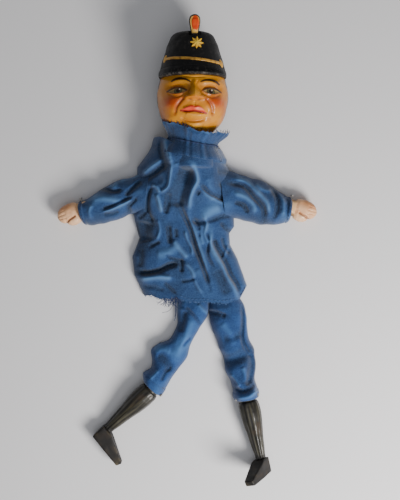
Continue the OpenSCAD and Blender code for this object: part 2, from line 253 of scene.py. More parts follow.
steel = plain("steel", rgb(176, 172, 166), 0.42, 1.0)
bare_wood = plain("bare_wood", rgb(186, 148, 100), 0.7)
floor_paint = bpy.data.materials.new("floor_paint")
floor_paint.use_nodes = True
floor_paint.node_tree.nodes["Principled BSDF"].inputs["Base Color"].default_value = rgb(222, 222, 225)
floor_paint.node_tree.nodes["Principled BSDF"].inputs["Roughness"].default_value = 0.9

bpy.ops.mesh.primitive_plane_add(size=6, location=(0, 0, -0.0004))
floor = bpy.context.object
floor.name = "floor"
floor.data.materials.append(floor_paint)

# ---------------------------------------------------------------- shape helpers


NOISE_CELLS = 64  # the noise repeats after this many features


def value_noise(x, y, scale, seed):
    """Smooth noise from -1 to 1 with features about scale long."""
    grid = np.random.default_rng(seed).uniform(-1, 1, (NOISE_CELLS, NOISE_CELLS))
    u, v = np.asarray(x) / scale + 31.7, np.asarray(y) / scale + 17.3
    i, j = np.floor(u).astype(int), np.floor(v).astype(int)
    a, b = u - i, v - j
    a, b = a * a * (3 - 2 * a), b * b * (3 - 2 * b)

    def corner(p, q):
        return grid[p % NOISE_CELLS, q % NOISE_CELLS]

    return ((corner(i, j) * (1 - a) + corner(i + 1, j) * a) * (1 - b)
            + (corner(i, j + 1) * (1 - a) + corner(i + 1, j + 1) * a) * b)


def smooth(lo, hi, x):
    t = np.clip((np.asarray(x, float) - lo) / (hi - lo), 0, 1)
    return t * t * (3 - 2 * t)


def bell(x, y, cx, cy, rx, ry, turn=0.0):
    """A soft round bump, 1 at its centre."""
    c, s = math.cos(math.radians(turn)), math.sin(math.radians(turn))
    u = ((x - cx) * c + (y - cy) * s) / rx
    v = (-(x - cx) * s + (y - cy) * c) / ry
    return np.exp(-(u * u + v * v))


def run_along(p):
    """Length along a line up to each of its points."""
    return np.concatenate([[0], np.cumsum(np.linalg.norm(np.diff(p, axis=0), axis=1))])


def spline(points, t):
    """A smooth curve through the points, at t from 0 to 1 by length."""
    p = np.array(points, float)
    d = run_along(p)
    d /= d[-1]
    m = np.gradient(p, d, axis=0)
    t = np.clip(np.asarray(t, float), 0, 1)
    i = np.clip(np.searchsorted(d, t, side="right") - 1, 0, len(d) - 2)
    h = d[i + 1] - d[i]
    f = ((t - d[i]) / h)[:, None]
    h = h[:, None]
    return ((2 * f**3 - 3 * f**2 + 1) * p[i] + (f**3 - 2 * f**2 + f) * h * m[i]
            + (-2 * f**3 + 3 * f**2) * p[i + 1] + (f**3 - f**2) * h * m[i + 1])


def line_distance(x, y, points):
    """Distance to a polyline, how far along it from 0 to 1, and the side (left is positive)."""
    p = np.array(points, float)
    best = np.full(np.shape(x), 1e9)
    along, side = np.zeros_like(best), np.ones_like(best)
    start = run_along(p)
    d = np.linalg.norm(np.diff(p, axis=0), axis=1)
    for k in range(len(p) - 1):
        e = p[k + 1] - p[k]
        t = np.clip(((x - p[k, 0]) * e[0] + (y - p[k, 1]) * e[1]) / d[k] ** 2, 0, 1)
        qx, qy = x - p[k, 0] - t * e[0], y - p[k, 1] - t * e[1]
        r = np.hypot(qx, qy)
        near = r < best
        best = np.where(near, r, best)
        along = np.where(near, (start[k] + t * d[k]) / start[-1], along)
        side = np.where(near, np.sign(e[0] * qy - e[1] * qx), side)
    return best, along, side


def fold_field(x, y, folds):
    """Height of the folds: each is (points, left width, right width, height)."""
    z = np.zeros(np.shape(x))
    for points, left, right, height in folds:
        fine = spline(points, np.linspace(0, 1, 4 * len(points)))
        d, along, side = line_distance(x, y, fine)
        w = np.where(side > 0, left, right)
        ends = smooth(0, 0.16, along) * (1 - smooth(0.84, 1, along))
        z += height * np.exp(-((d / w) ** 2)) * (0.2 + 0.8 * ends)
    return z


class Piece:
    """Collects the parts of one visible piece, then makes the object."""

    def __init__(self, name):
        self.name, self.verts, self.faces, self.mats, self.smooth = name, [], [], [], []
        self.uvs, self.wear, self.paint, self.count = [], [], [], 0
        self.materials = []

    def add(self, verts, faces, material, uv=None, wear=0.5, paint=(1, 1, 1), flat=False):
        verts = np.asarray(verts, float).reshape(-1, 3)
        n = len(verts)
        if material not in self.materials:
            self.materials.append(material)
        m = self.materials.index(material)
        for f in faces:
            self.faces.append(tuple(int(i) + self.count for i in f))
            self.mats.append(m)
            self.smooth.append(not flat)
        self.verts.append(verts)
        self.uvs.append(verts[:, :2] * MM if uv is None else np.asarray(uv, float).reshape(-1, 2) * MM)
        self.wear.append(np.broadcast_to(np.asarray(wear, float).reshape(-1), (n,)))
        self.paint.append(np.broadcast_to(np.asarray(paint, float).reshape(-1, 3), (n, 3)))
        self.count += n

    def make(self):
        co = np.concatenate(self.verts) * MM
        me = bpy.data.meshes.new(self.name)
        me.from_pydata(co.tolist(), [], self.faces)
        for m in self.materials:
            me.materials.append(m)
        me.polygons.foreach_set("material_index", self.mats)
        me.polygons.foreach_set("use_smooth", self.smooth)
        uv = np.concatenate(self.uvs)
        loops = np.zeros(len(me.loops), np.int32)
        me.loops.foreach_get("vertex_index", loops)
        me.uv_layers.new(name="flat").data.foreach_set("uv", uv[loops].ravel())
        w = me.attributes.new("wear", "FLOAT", "POINT")
        w.data.foreach_set("value", np.concatenate(self.wear).astype(np.float32))
        p = me.attributes.new("paint", "FLOAT_COLOR", "POINT")
        full = np.concatenate([np.concatenate(self.paint), np.ones((len(co), 1))], axis=1)
        p.data.foreach_set("color", full.astype(np.float32).ravel())
        me.validate()
        me.update()
        ob = bpy.data.objects.new(self.name, me)
        bpy.context.scene.collection.objects.link(ob)
        return ob


def grid_faces(rows, cols, closed, start=0, flip=False):
    """Quads of a grid whose points run row by row; closed joins the last column to the first."""
    out = []
    for r in range(rows - 1):
        for c in range(cols if closed else cols - 1):
            a, b = start + r * cols + c, start + r * cols + (c + 1) % cols
            d, e = a + cols, b + cols
            out.append((a, d, e, b) if flip else (a, b, e, d))
    return out


def grid_normals(p, closed):
    """Unit normals of a (rows, cols, 3) grid, along the turn of rows times columns."""
    du = np.gradient(p, axis=0)
    if closed:
        dv = np.roll(p, -1, axis=1) - np.roll(p, 1, axis=1)
    else:
        dv = np.gradient(p, axis=1)
    n = np.cross(dv, du)
    return n / np.maximum(np.linalg.norm(n, axis=2, keepdims=True), 1e-9)


def thread_tube(points, radius, sides=5):
    """Points and faces of a thin tube with closed ends."""
    p = np.asarray(points, float)
    t = np.gradient(p, axis=0)
    t /= np.maximum(np.linalg.norm(t, axis=1, keepdims=True), 1e-9)
    up = np.where(np.abs(t[:, 2:3]) > 0.9, [[1.0, 0, 0]], [[0, 0, 1.0]])
    a = np.cross(t, up)
    a /= np.linalg.norm(a, axis=1, keepdims=True)
    b = np.cross(t, a)
    r = np.broadcast_to(np.asarray(radius, float).reshape(-1), (len(p),))[:, None, None]
    ang = np.arange(sides) * 2 * math.pi / sides
    ring = a[:, None] * np.cos(ang)[None, :, None] + b[:, None] * np.sin(ang)[None, :, None]
    v = (p[:, None] + ring * r).reshape(-1, 3)
    f = grid_faces(len(p), sides, True, flip=True)
    f.append(tuple(range(sides)))
    f.append(tuple((len(p) - 1) * sides + sides - 1 - k for k in range(sides)))
    return v, f


def colour3(r, g, b):
    return np.array(rgb(r, g, b)[:3])


class Coat:
    """Layers of paint, with one colour for each point. Colours are 0..255 display values."""

    def __init__(self, first, shape):
        self.colour = np.broadcast_to(colour3(*first), (*shape, 3))

    def add(self, top, amount):
        a = np.clip(np.asarray(amount, float), 0, 1)[..., None]
        self.colour = self.colour * (1 - a) + colour3(*top) * a


def cap_faces(rows, cols):
    """Two polygons that close the ends of a grid of closed rows."""
    return [tuple(range(cols)), tuple((rows - 1) * cols + k for k in reversed(range(cols)))]


# ---------------------------------------------------------------- cloth

CLOTH_T = 0.6  # thickness of the cotton
BACK_Z = 0.5  # height of the cloth that lies on the ground
HEAD_X, HEAD_Z = 5.0, 30.0  # the axis of the neck, head and hat, which runs along Y


def at(table, x):
    """Straight-line lookup in pairs of place and value."""
    p = np.array(sorted(table), float)
    return np.interp(x, p[:, 0], p[:, 1])


def flat_tube(left, right, height, side_power, n_top, n_bottom, folds, seed, ruck=1.0):
    """A slack tube of cloth as it lies. left and right are (rows, 2) edges, height one value per row."""
    rows = len(left)
    k = np.arange(n_top) / (n_top - 1)
    u_top = 0.5 - 0.5 * np.cos(math.pi * k)
    u_bot = 1 - (np.arange(1, n_bottom + 1) / (n_bottom + 1))
    edge = right - left
    top = left[:, None, :] + edge[:, None, :] * u_top[None, :, None]
    bot = left[:, None, :] + edge[:, None, :] * u_bot[None, :, None]
    power = np.broadcast_to(side_power, (rows,))[:, None]
    dome = np.sqrt(np.clip(1 - np.abs(2 * u_top[None] - 1) ** power, 0, 1))
    z = BACK_Z + (np.broadcast_to(height, (rows,))[:, None] - BACK_Z) * dome
    x, y = top[..., 0], top[..., 1]
    soft = dome**0.7
    rough = (value_noise(x, y, 11, seed) * 0.9 + value_noise(x, y, 5.5, seed + 1) * 0.42
             + value_noise(x, y, 2.6, seed + 2) * 0.13)
    folded = fold_field(x, y, folds)
    z = np.maximum(z + soft * (1.2 * folded + ruck * rough), BACK_Z + 0.05)
    # Wear and painted shade follow the folds: ridges are faded and lighter, valleys are painted darker as
    # shade
    dip = 1.25 * folded + 0.9 * ruck * rough
    wear_top = np.clip(0.46 + 0.22 * dip + 0.10 * value_noise(x, y, 16, seed + 3), 0.02, 1)
    lift = 0.25 + 0.25 * value_noise(bot[..., 0], bot[..., 1], 9, seed + 4)
    grid = np.concatenate([
        np.concatenate([top, z[..., None]], axis=2),
        np.concatenate([bot, (BACK_Z + np.maximum(lift, 0))[..., None]], axis=2)], axis=1)
    wear = np.concatenate([wear_top, np.full(bot.shape[:2], 0.42)], axis=1)
    return grid, wear


def add_tube(piece, grid, wear, outer, inner, thick=CLOTH_T, from_row=0):
    """Cloth of real thickness from a grid of rings, open at both ends."""
    rows, cols = grid.shape[:2]
    n = grid_normals(grid, True)
    mid = grid.mean(axis=1, keepdims=True)
    if np.mean(np.sum(n * (grid - mid), axis=2)) < 0:
        n = -n
    inside = grid - n * thick
    inside[..., 2] = np.maximum(inside[..., 2], 0.15)
    length, girth = run_along(grid.mean(axis=1)), run_along(grid[0])
    uv = np.stack(np.meshgrid(length + from_row, girth, indexing="ij"), axis=2)
    total = rows * cols
    piece.add(grid, grid_faces(rows, cols, True, flip=True), outer, uv, wear.ravel())
    both = np.concatenate([grid.reshape(-1, 3), inside.reshape(-1, 3)])
    both_uv = np.concatenate([uv.reshape(-1, 2)] * 2)
    both_wear = np.concatenate([wear.ravel()] * 2)
    faces = grid_faces(rows, cols, True, start=total)
    piece.add(both, faces, inner, both_uv, both_wear)
    rim = []
    for base, swap in ((0, False), ((rows - 1) * cols, True)):
        for c in range(cols):
            a, b = base + c, base + (c + 1) % cols
            q = (a, b, total + b, total + a)
            rim.append(q[::-1] if swap else q)
    piece.add(both, rim, outer, both_uv, both_wear + 0.25)


def surface_z(grid, x, y):
    """Height of a grid's top surface over a place."""
    p = grid.reshape(-1, 3)
    d = (p[:, 0] - x) ** 2 + (p[:, 1] - y) ** 2
    near = np.argsort(d)[:12]
    return float(p[near, 2].max())


def stitches(piece, grid, points, material, length=1.9, space=1.5, radius=0.26, sink=0.02):
    """A row of short stitches laid on the cloth."""
    p = spline(points, np.linspace(0, 1, 200))
    run = run_along(p)
    s = 0.0
    while s + length < run[-1]:
        q = [[np.interp(s + length * f, run, p[:, k]) for k in (0, 1)] for f in (0, 0.33, 0.67, 1)]
        zs = [surface_z(grid, *a) for a in q]
        zs[0] -= radius
        zs[-1] -= radius
        v, f = thread_tube([[a[0], a[1], z + radius - sink] for a, z in zip(q, zs)], radius)
        piece.add(v, f, material)
        s += length + space


def strands(piece, grid, places, material, seed, long=7.0, heading=-90, radius=0.16, spread=40):
    """Loose ends of thread that stick out of a frayed edge."""
    r = np.random.default_rng(seed)
    for x, y in places:
        n = 7
        a = math.radians(heading + r.uniform(-spread, spread))
        z = surface_z(grid, x, y)
        size = long * r.uniform(0.35, 1.0)
        bend = r.uniform(-0.5, 0.5, 2)
        pts = []
        for i in range(n):
            t = i / (n - 1)
            b = a + bend[0] * t + bend[1] * t * t * 2
            pts.append([x + math.cos(b) * size * t, y + math.sin(b) * size * t,
                        max(z * (1 - 0.15 * t) - 0.2 + 0.5 * math.sin(3 * t), 0.4)])
        v, f = thread_tube(pts, radius, 4)
        piece.add(v, f, material)


# Folds of the tunic as (line, width on its left, width on its right, height)
TUNIC_FOLDS = [
    ([(-18.9, 98.8), (-17.8, 90.7), (-14.9, 81.5), (-13.2, 74.6)], 2.2, 2.2, 2.6),
    ([(-23.5, 97), (-23, 88), (-21, 79), (-19, 72)], 2.6, 1.8, -2.4),
    ([(-13, 74.6), (-5, 75.6), (2.9, 76.9), (10, 75)], 1.6, 3.6, 1.2),
    ([(2.9, 76.9), (7.5, 70), (8.7, 60.8), (6.4, 56.2), (2.9, 47), (1.8, 35.5)], 2.4, 2.2, 3.2),
    ([(1.5, 75), (0, 66), (-3.4, 56), (-6.6, 48), (-8, 38)], 4.4, 6.0, -5.4),
    ([(-7, 44), (-4, 35.5), (2.9, 20.5), (7.5, 4.4), (14.4, -14), (20.2, -33.5)], 1.9, 1.9, -3.4),
    ([(0, 35), (5.2, 20.5), (9.5, 8), (14.5, -8), (19, -22)], 2.2, 1.7, 2.0),
    ([(11, 58.5), (20.2, 51.6), (30.5, 47), (38.6, 44.7)], 2.0, 2.2, -2.8),
    ([(8.7, 60), (16.7, 50.5), (28.3, 44.7), (40.9, 40.1)], 1.5, 1.5, 1.7),
    ([(27.1, 58.5), (38.6, 60.8), (49, 58.5)], 2.2, 2.4, -2.6),
    ([(26, 71), (32, 71.5), (37.5, 71)], 3.4, 3.0, -1.6),
    ([(-13, 75), (-14.3, 65.4), (-16.6, 56.2), (-23.5, 51.6)], 1.3, 1.3, 2.6),
    ([(-23.5, 51.6), (-28.1, 57.9), (-31.6, 58.5)], 1.3, 1.3, 2.0),
    ([(-31, 58), (-34.5, 47), (-35, 37.8), (-29.9, 25.1)], 1.7, 1.7, -3.0),
    ([(-27, 51.6), (-25, 46), (-23.5, 40), (-21, 34)], 1.8, 1.8, 2.2),
    ([(-15.5, 52), (-17, 43), (-20, 33.2)], 2.8, 2.8, -2.8),
    ([(-37, 28), (-38.5, 18), (-37, 8)], 6.0, 6.0, -4.0),
    ([(-42, 4), (-41, -6), (-43, -14)], 3.0, 3.0, -1.6),
    ([(23, 12), (27, 3), (33, -6)], 2.4, 2.4, -2.6),
    ([(31, 14), (33, 6), (38, -2)], 1.6, 1.6, -2.0),
    ([(-2, 20), (0, 12), (4, 4), (5, -4)], 1.4, 1.4, 1.7),
    ([(-26, 30), (-24, 20), (-27, 10)], 1.6, 1.6, 1.6),
    ([(-3, -8), (4, -16), (8, -28), (14, -38)], 1.4, 1.4, 1.5),
    ([(-20, -2), (-12, -6), (-3, -8)], 1.4, 1.4, -1.5),
    ([(15, 20), (19, 10), (18, -2), (24, -14)], 1.3, 1.3, -1.8),
    ([(14, 33), (17, 26), (16, 16), (20, 6)], 1.5, 1.5, 1.8),
    ([(6, 30), (10, 22), (11, 12)], 1.3, 1.3, -1.6),
    ([(-34, 40), (-38, 34), (-44, 30)], 1.8, 1.8, -1.6),
    ([(26, -14), (30, -24), (36, -38)], 4.0, 4.0, -1.5),
    ([(-24, 70), (-20, 62), (-24, 56)], 3.2, 3.2, 1.2),
    ([(-40, -30), (-30, -31), (-20, -34)], 1.8, 1.8, -1.1),
    ([(-16.6, 24), (-16, 16), (-14.6, 7)], 2.3, 2.3, -2.4),
    ([(-10.3, 21), (-10, 17), (-9.5, 13)], 1.6, 1.6, -1.4),
    ([(-33, 4.6), (-29, 7), (-24, 9.6)], 1.6, 1.6, -1.6),
    ([(-13.2, 11.3), (-5.1, 1), (0.6, -5.9)], 2.4, 2.0, 2.2),
    ([(-44, -17.5), (-35, -18.4), (-25.8, -16.3), (-16.6, -11.7), (-7.4, -9.4)], 2.0, 2.8, -4.4),
    ([(-43, -23), (-39.6, -23), (-25.8, -21.4), (-12, -23.2)], 2.0, 3.0, 2.6),
    ([(-5.1, -6), (-5.1, -12), (-5.1, -18)], 1.7, 1.7, -2.2),
    ([(-6, -26), (0, -25), (8.5, -23)], 1.5, 1.5, -1.4),
    ([(-21.2, -26.6), (-15, -32), (-9.7, -37)], 1.3, 1.3, -1.2),
    ([(9.8, 21), (12, 14), (14.8, 6)], 1.8, 1.8, 1.6),
    ([(21.3, 19), (21.3, 5.6), (24.8, -1.3), (30.5, -10.5), (35, -21), (43, -34), (46.4, -42)],
     1.9, 2.4, 3.0),
    ([(29, -3), (33.4, -9.4), (38, -19.7), (44, -29), (47, -37)], 2.4, 2.4, -3.6),
    ([(30.5, -7.1), (34, -1), (36.3, 5.6)], 1.6, 1.6, 1.6),
    ([(1.8, 28.6), (12, 26.6), (24, 29.5), (33, 32), (41, 32)], 2.4, 2.4, -2.4),
    ([(29.5, 26.3), (34, 21.6), (39, 17.5)], 1.6, 1.6, -2.0),
    ([(8.2, 52.6), (11.2, 50.6)], 2.0, 2.0, -1.8),
    ([(-16.6, 76.8), (-26, 70.4), (-35, 65), (-46, 57.4)], 2.4, 3.2, -4.2),
    ([(-20, 81), (-30, 75), (-40, 68.5)], 2.8, 2.0, 2.0),
    ([(18, 66), (20, 56), (24, 44)], 4.0, 4.0, 1.2),
    ([(14, 24), (20, 36), (30, 40)], 4.5, 4.5, 1.4),
    ([(-28, -2), (-18, -1), (-8, 6)], 4.0, 4.0, 1.4),
    ([(22, -30), (14, -22), (8, -14)], 4.0, 4.0, 0.9),
]

LEFT_SIDE = [(-50, -38.5), (-39.3, -38.5), (-31.8, -42.1), (-20.7, -47.5), (-4.4, -49.4), (12.5, -42.9),
             (22.9, -45.8), (33, -48.2), (45, -46.6), (60, -45.6), (75.8, -45.0), (86.1, -37.3),
             (93, -32.4), (104, -30.4)]
RIGHT_SIDE = [(-50, 46), (-43, 46.7), (-36, 50.6), (-30.1, 53.6), (-6, 45), (6.5, 38.4), (16.9, 37.7),
              (22.9, 42.1), (29.4, 41.9), (42.4, 41.4), (66, 40.6), (72, 38.9), (78.1, 34.8), (82.7, 35.5),
              (91.3, 31.1), (104, 30)]
HEM = [(-60, -39.3), (-38.5, -39.3), (-31.6, -38.7), (-23.5, -41.6), (-16.6, -41.4), (-9.7, -39.4),
       (-6.3, -41.6), (0.6, -43.9), (14.4, -43.9), (32.9, -45.6), (46.7, -42.7), (60, -38)]
YOKE_TOP = [(-60, 88), (-36, 90), (-30, 101.5), (-24, 101), (-17, 97.5), (-11, 93), (5, 90.5), (31, 91),
            (60, 90)]
TOP_Z = [(-50, 15.5), (-20, 16.5), (5, 17.0), (28, 20.5), (42, 27), (58, 37.5), (75, 44.0), (82, 46.6),
         (104, 46.8)]


NECK_R = 18.2  # from the neck's axis to the cloth over it


def tunic_grid(rows, n_top, n_bottom):
    """The tunic as a grid of rings from the hem to the yoke: front columns first, then the back."""
    s = np.linspace(0, 1, rows)[:, None]
    u = np.concatenate([0.5 - 0.5 * np.cos(math.pi * np.arange(n_top) / (n_top - 1)),
                        1 - np.arange(1, n_bottom + 1) / (n_bottom + 1)])[None]
    x = -45 + 95 * u + 0 * s
    for _ in range(4):
        y = (1 - s) * at(HEM, x) + s * at(YOKE_TOP, x)
        lo, hi = at(LEFT_SIDE, y), at(RIGHT_SIDE, y)
        x = lo + (hi - lo) * u
    on_top = np.arange(n_top + n_bottom) < n_top
    power = 3.6 - 1.5 * smooth(15, 62, y)
    dome = np.sqrt(np.clip(1 - np.abs(2 * u - 1) ** power, 0, 1))
    z = BACK_Z + (at(TOP_Z, y) - BACK_Z) * dome
    # The yoke drops away beside the neck, and the cloth is hollow just below the neck's end
    z -= 7.0 * smooth(17, 30, np.abs(x - HEAD_X)) * smooth(40, 70, y) * dome
    z -= 3.5 * bell(x, y, -1, 66, 13, 8)
    soft = dome**0.7
    rough = (value_noise(x, y, 14, 5) * 0.8 + value_noise(x, y, 6.5, 6) * 0.34
             + value_noise(x, y, 2.8, 7) * 0.10)
    folded = fold_field(x, y, TUNIC_FOLDS)
    # Ragged hem: threads have dropped out, so the edge wanders
    wander = value_noise(x, y * 0, 1.7, 8) * 0.6 + value_noise(x, y * 0, 5, 9) * 0.5
    ragged = (1 - smooth(0, 0.03, s)) * wander
    top = np.maximum(z + soft * (1.25 * folded + rough), BACK_Z + 0.05)
    under = BACK_Z + np.maximum(0, 0.3 + 0.3 * value_noise(x, y, 9, 10))
    # The neck inside holds the cloth up
    neck = HEAD_Z + np.sqrt(np.clip(NECK_R**2 - (x - HEAD_X) ** 2, 0, None))
    over_neck = (y > 70) & (np.abs(x - HEAD_X) < NECK_R)
    top = np.where(over_neck, np.maximum(top, neck * smooth(64, 74.4, y)), top)
    z = np.where(on_top[None], top, under)
    # Colour weight of the front: lighter on faded fold ridges, painted darker in the valleys as shade
    wear = np.where(on_top[None], np.clip(
        0.46 + 0.22 * (1.15 * folded + 0.9 * rough) + 0.10 * value_noise(x, y, 16, 11), 0.02, 1), 0.42)
    return np.stack([x, y + ragged, z], axis=2), wear


def dense(n):
    return int(n * (1.0))


body_grid, body_wear = tunic_grid(dense(230), dense(200), dense(50))
tunic = Piece("tunic")
add_tube(tunic, body_grid, body_wear, tunic_cloth, shaded_inner_cloth)
stitches(tunic, body_grid, [(-6, -38.6), (0.6, -41.2), (14.4, -41.4), (32.9, -43), (44, -41)], pale_thread)
stitches(tunic, body_grid, [(47.6, -38.6), (50, -35), (51.6, -31)], navy_thread, 2.2, 0.9, 0.3)
stitches(tunic, body_grid, [(38.4, 70), (39.6, 60), (40, 50), (40.2, 40), (40.4, 34)], navy_thread)
stitches(tunic, body_grid, [(-44, 68), (-44.8, 58), (-45.2, 48), (-46, 38)], navy_thread)


def along_hem(places, inset=0.4):
    return [(x, at(HEM, x) + inset) for x in places]


fray = np.random.default_rng(3)
strands(tunic, body_grid, along_hem(fray.uniform(-22, -6, dense(60))), navy_thread, 4, 9)
strands(tunic, body_grid, along_hem((-15.4, -13.2, -12.4, -11.0, -10.1, -9.4), 0.6), navy_thread, 14, 24,
        heading=-88, radius=0.17, spread=16)
strands(tunic, body_grid, along_hem(fray.uniform(-38, 46, dense(120))), pale_thread, 5, 2.4)
tunic_ob = tunic.make()
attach(tunic_ob, "torso")
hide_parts("tunic_front", "tunic_back")

# ---------------------------------------------------------------- sleeves

SLEEVE_FOLDS_LEFT = [
    ([(-40, 70), (-50, 66.5), (-60, 63)], 2.0, 2.2, 1.6),
    ([(-40, 63), (-47.7, 56.2), (-55, 49.3)], 2.2, 2.2, -2.8),
    ([(-80, 57.5), (-72, 55.6), (-64.7, 54.1), (-57, 55)], 1.6, 2.0, -2.6),
    ([(-86, 47), (-76, 48), (-66, 46), (-56, 41)], 3.6, 3.6, 1.9),
    ([(-76, 34.5), (-68, 37), (-58, 41.5), (-47, 46.5)], 1.2, 1.2, 2.2),
    ([(-76, 38), (-66, 41), (-56, 45.5), (-47, 50)], 1.5, 1.5, -1.8),
    ([(-74, 34), (-68, 33.6), (-60, 36)], 1.7, 1.7, -2.0),
    ([(-44.5, 48.5), (-48, 44), (-51.6, 40), (-50, 34)], 1.8, 1.8, -2.2),
    ([(-84, 42), (-86, 36), (-84, 29)], 1.8, 1.8, 1.3),
    ([(-62, 62), (-66, 58), (-70, 60)], 2.2, 2.2, 1.2),
]
SLEEVE_FOLDS_RIGHT = [
    ([(36, 60.8), (49, 59), (58.2, 49.3), (67.4, 37.8), (68.5, 28)], 2.4, 2.2, -2.8),
    ([(40, 65), (51, 63), (61, 54), (70, 43), (72.5, 32)], 2.2, 2.0, 2.0),
    ([(40, 52), (50, 49), (58, 42), (60, 33)], 2.4, 2.4, 1.8),
    ([(41, 44), (50, 41), (54, 34)], 1.8, 1.8, -2.0),
    ([(74, 58), (79, 48), (79, 36), (76, 27)], 2.0, 2.2, -1.8),
    ([(80, 54), (85, 44), (84, 31)], 2.0, 2.0, 1.4),
    ([(60, 61), (66, 56), (75, 54)], 2.0, 2.0, 1.3),
]


def limb_grid(edge_a, edge_b, rows, heights, folds, seed, power=2.5, ruck=1.0, cuff=0.0):
    """A sleeve or a trouser leg from its two edges. cuff is the length of a rolled or stitched end."""
    t = np.linspace(0, 1, rows)
    a, b = spline(edge_a, t), spline(edge_b, t)
    across = (b - a) / np.linalg.norm(b - a, axis=1, keepdims=True)
    for edge, sign, k in ((a, -1, 40), (b, 1, 50)):
        shift = value_noise(edge[:, 0], edge[:, 1], 7, seed + k) * 0.7 * smooth(0, 0.1, t) * ruck
        edge += across * (sign * shift)[:, None]
    run = run_along((a + b) / 2)
    h = np.interp(t, np.linspace(0, 1, len(heights)), heights)
    if cuff:
        from_end = run[-1] - run
        swell = np.sin(math.pi * np.clip(from_end / cuff, 0, 1))
        roll = smooth(cuff + 0.5, cuff - 0.5, from_end) * (0.55 + 0.45 * swell)
        a, b = a - across * roll[:, None] * 1.1, b + across * roll[:, None] * 1.1
        h = h + 1.3 * roll
    return flat_tube(a, b, h, power, dense(110), dense(40), folds, seed, ruck)


def tuck_end(grid, wear, depth, centre, keep):
    """Adds rings that turn in at the end, so that the opening shows its thickness."""
    last, before = grid[-1], grid[-4]
    out = last.mean(axis=0) - before.mean(axis=0)
    out /= np.linalg.norm(out)
    rings = []
    for f in (0.35, 0.7, 1.0):
        ring = last + (np.array(centre) - last) * (1 - keep) * f + out * depth * (0.5 - f)
        rings.append(ring[None])
    # The turned-in rings are painted darker, as shade inside the opening
    return np.concatenate([grid, *rings]), np.concatenate([wear, *[wear[-1:] * 0.7] * 3])


def cloth_limb(label, grid, wear, cut, outer, upper_blend, lower_blend, stands_for, trim=None):
    """Splits a limb at one ring into an upper and a lower half."""
    for half, sl, bend, node in (("upper", slice(0, cut + 1), upper_blend, stands_for[0]),
                                 ("lower", slice(cut, None), lower_blend, stands_for[1])):
        piece = Piece(f"{label[0]}_cloth_{half}_{label[1]}")
        skip = run_along(grid[:cut + 1].mean(axis=1))[-1] if half == "lower" else 0
        add_tube(piece, grid[sl], wear[sl], outer, shaded_inner_cloth, from_row=skip)
        if trim:
            trim(piece, grid, half)
        ob = piece.make()
        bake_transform(ob)
        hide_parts(*node)


# Each shoulder's place, and how far the arm dips below a level line, in degrees
SHOULDERS = {"left": ((-45, 53.3), 18.5), "right": ((43.3, 51.5), 13.6)}
ARM_Z = 9.5
SLEEVE_HEIGHTS = [24, 21.5, 20.0, 19.6, 19.6, 19.8, 20.0, 19.8]


def arm_direction(name):
    """Unit vector from the shoulder to the hand, in the plane of the body."""
    dip = SHOULDERS[name][1]
    a = math.radians(180 + dip if name == "left" else -dip)
    return np.array([math.cos(a), math.sin(a)])


def sleeve(name, top, bottom, folds, seed):
    grid, wear = limb_grid(top, bottom, dense(150), SLEEVE_HEIGHTS, folds, seed, 2.4, 0.85, cuff=3.2)
    d = np.array([*arm_direction(name), 0])
    p = np.array([*SHOULDERS[name][0], 0.0])
    reach = ((grid.mean(axis=1) - p) * d).sum(axis=1)
    cut = int(np.argmin(np.abs(reach - 19.5)))
    far = float(reach[-1])
    grid, wear = tuck_end(grid, wear, 1.6, p + d * far + [0, 0, ARM_Z], 0.90)

    def trim(piece, g, half):
        if half == "lower":
            inset = g[-9]
            line = inset[:dense(110)][:: dense(110) // 16][:, :2]
            stitches(piece, g, line, navy_thread, 1.6, 1.2, 0.22)

    cloth_limb(("sleeve", name), grid, wear, cut, tunic_cloth,
               ("torso", f"arm_{name}", p + d * 2, p + d * 17),
               (f"arm_{name}", f"forearm_{name}", p + d * 21.5, p + d * 33),
               ((f"sleeve_upper_{name}",), (f"sleeve_lower_{name}",)), trim)


sleeve("left",
       [(-33, 74), (-41, 71.5), (-48.3, 67.8), (-60.1, 65.2), (-74.5, 58), (-89.5, 48.2), (-97.3, 43.6)],
       [(-38, 33), (-44, 33.5), (-52.6, 34), (-58, 30.8), (-66.6, 27.6), (-77.7, 25.6), (-88.2, 23.8),
        (-93.2, 26)],
       SLEEVE_FOLDS_LEFT, 101)
sleeve("right",
       [(28, 74.5), (38.5, 73), (47, 69.6), (55, 66.8), (70.3, 62.4), (82, 54.5), (93.5, 46.6)],
       [(34, 30), (42.6, 29.8), (50.9, 28.3), (65.3, 25), (78.5, 24.6), (85, 26), (90.7, 28)],
       SLEEVE_FOLDS_RIGHT, 131)

# ---------------------------------------------------------------- trousers

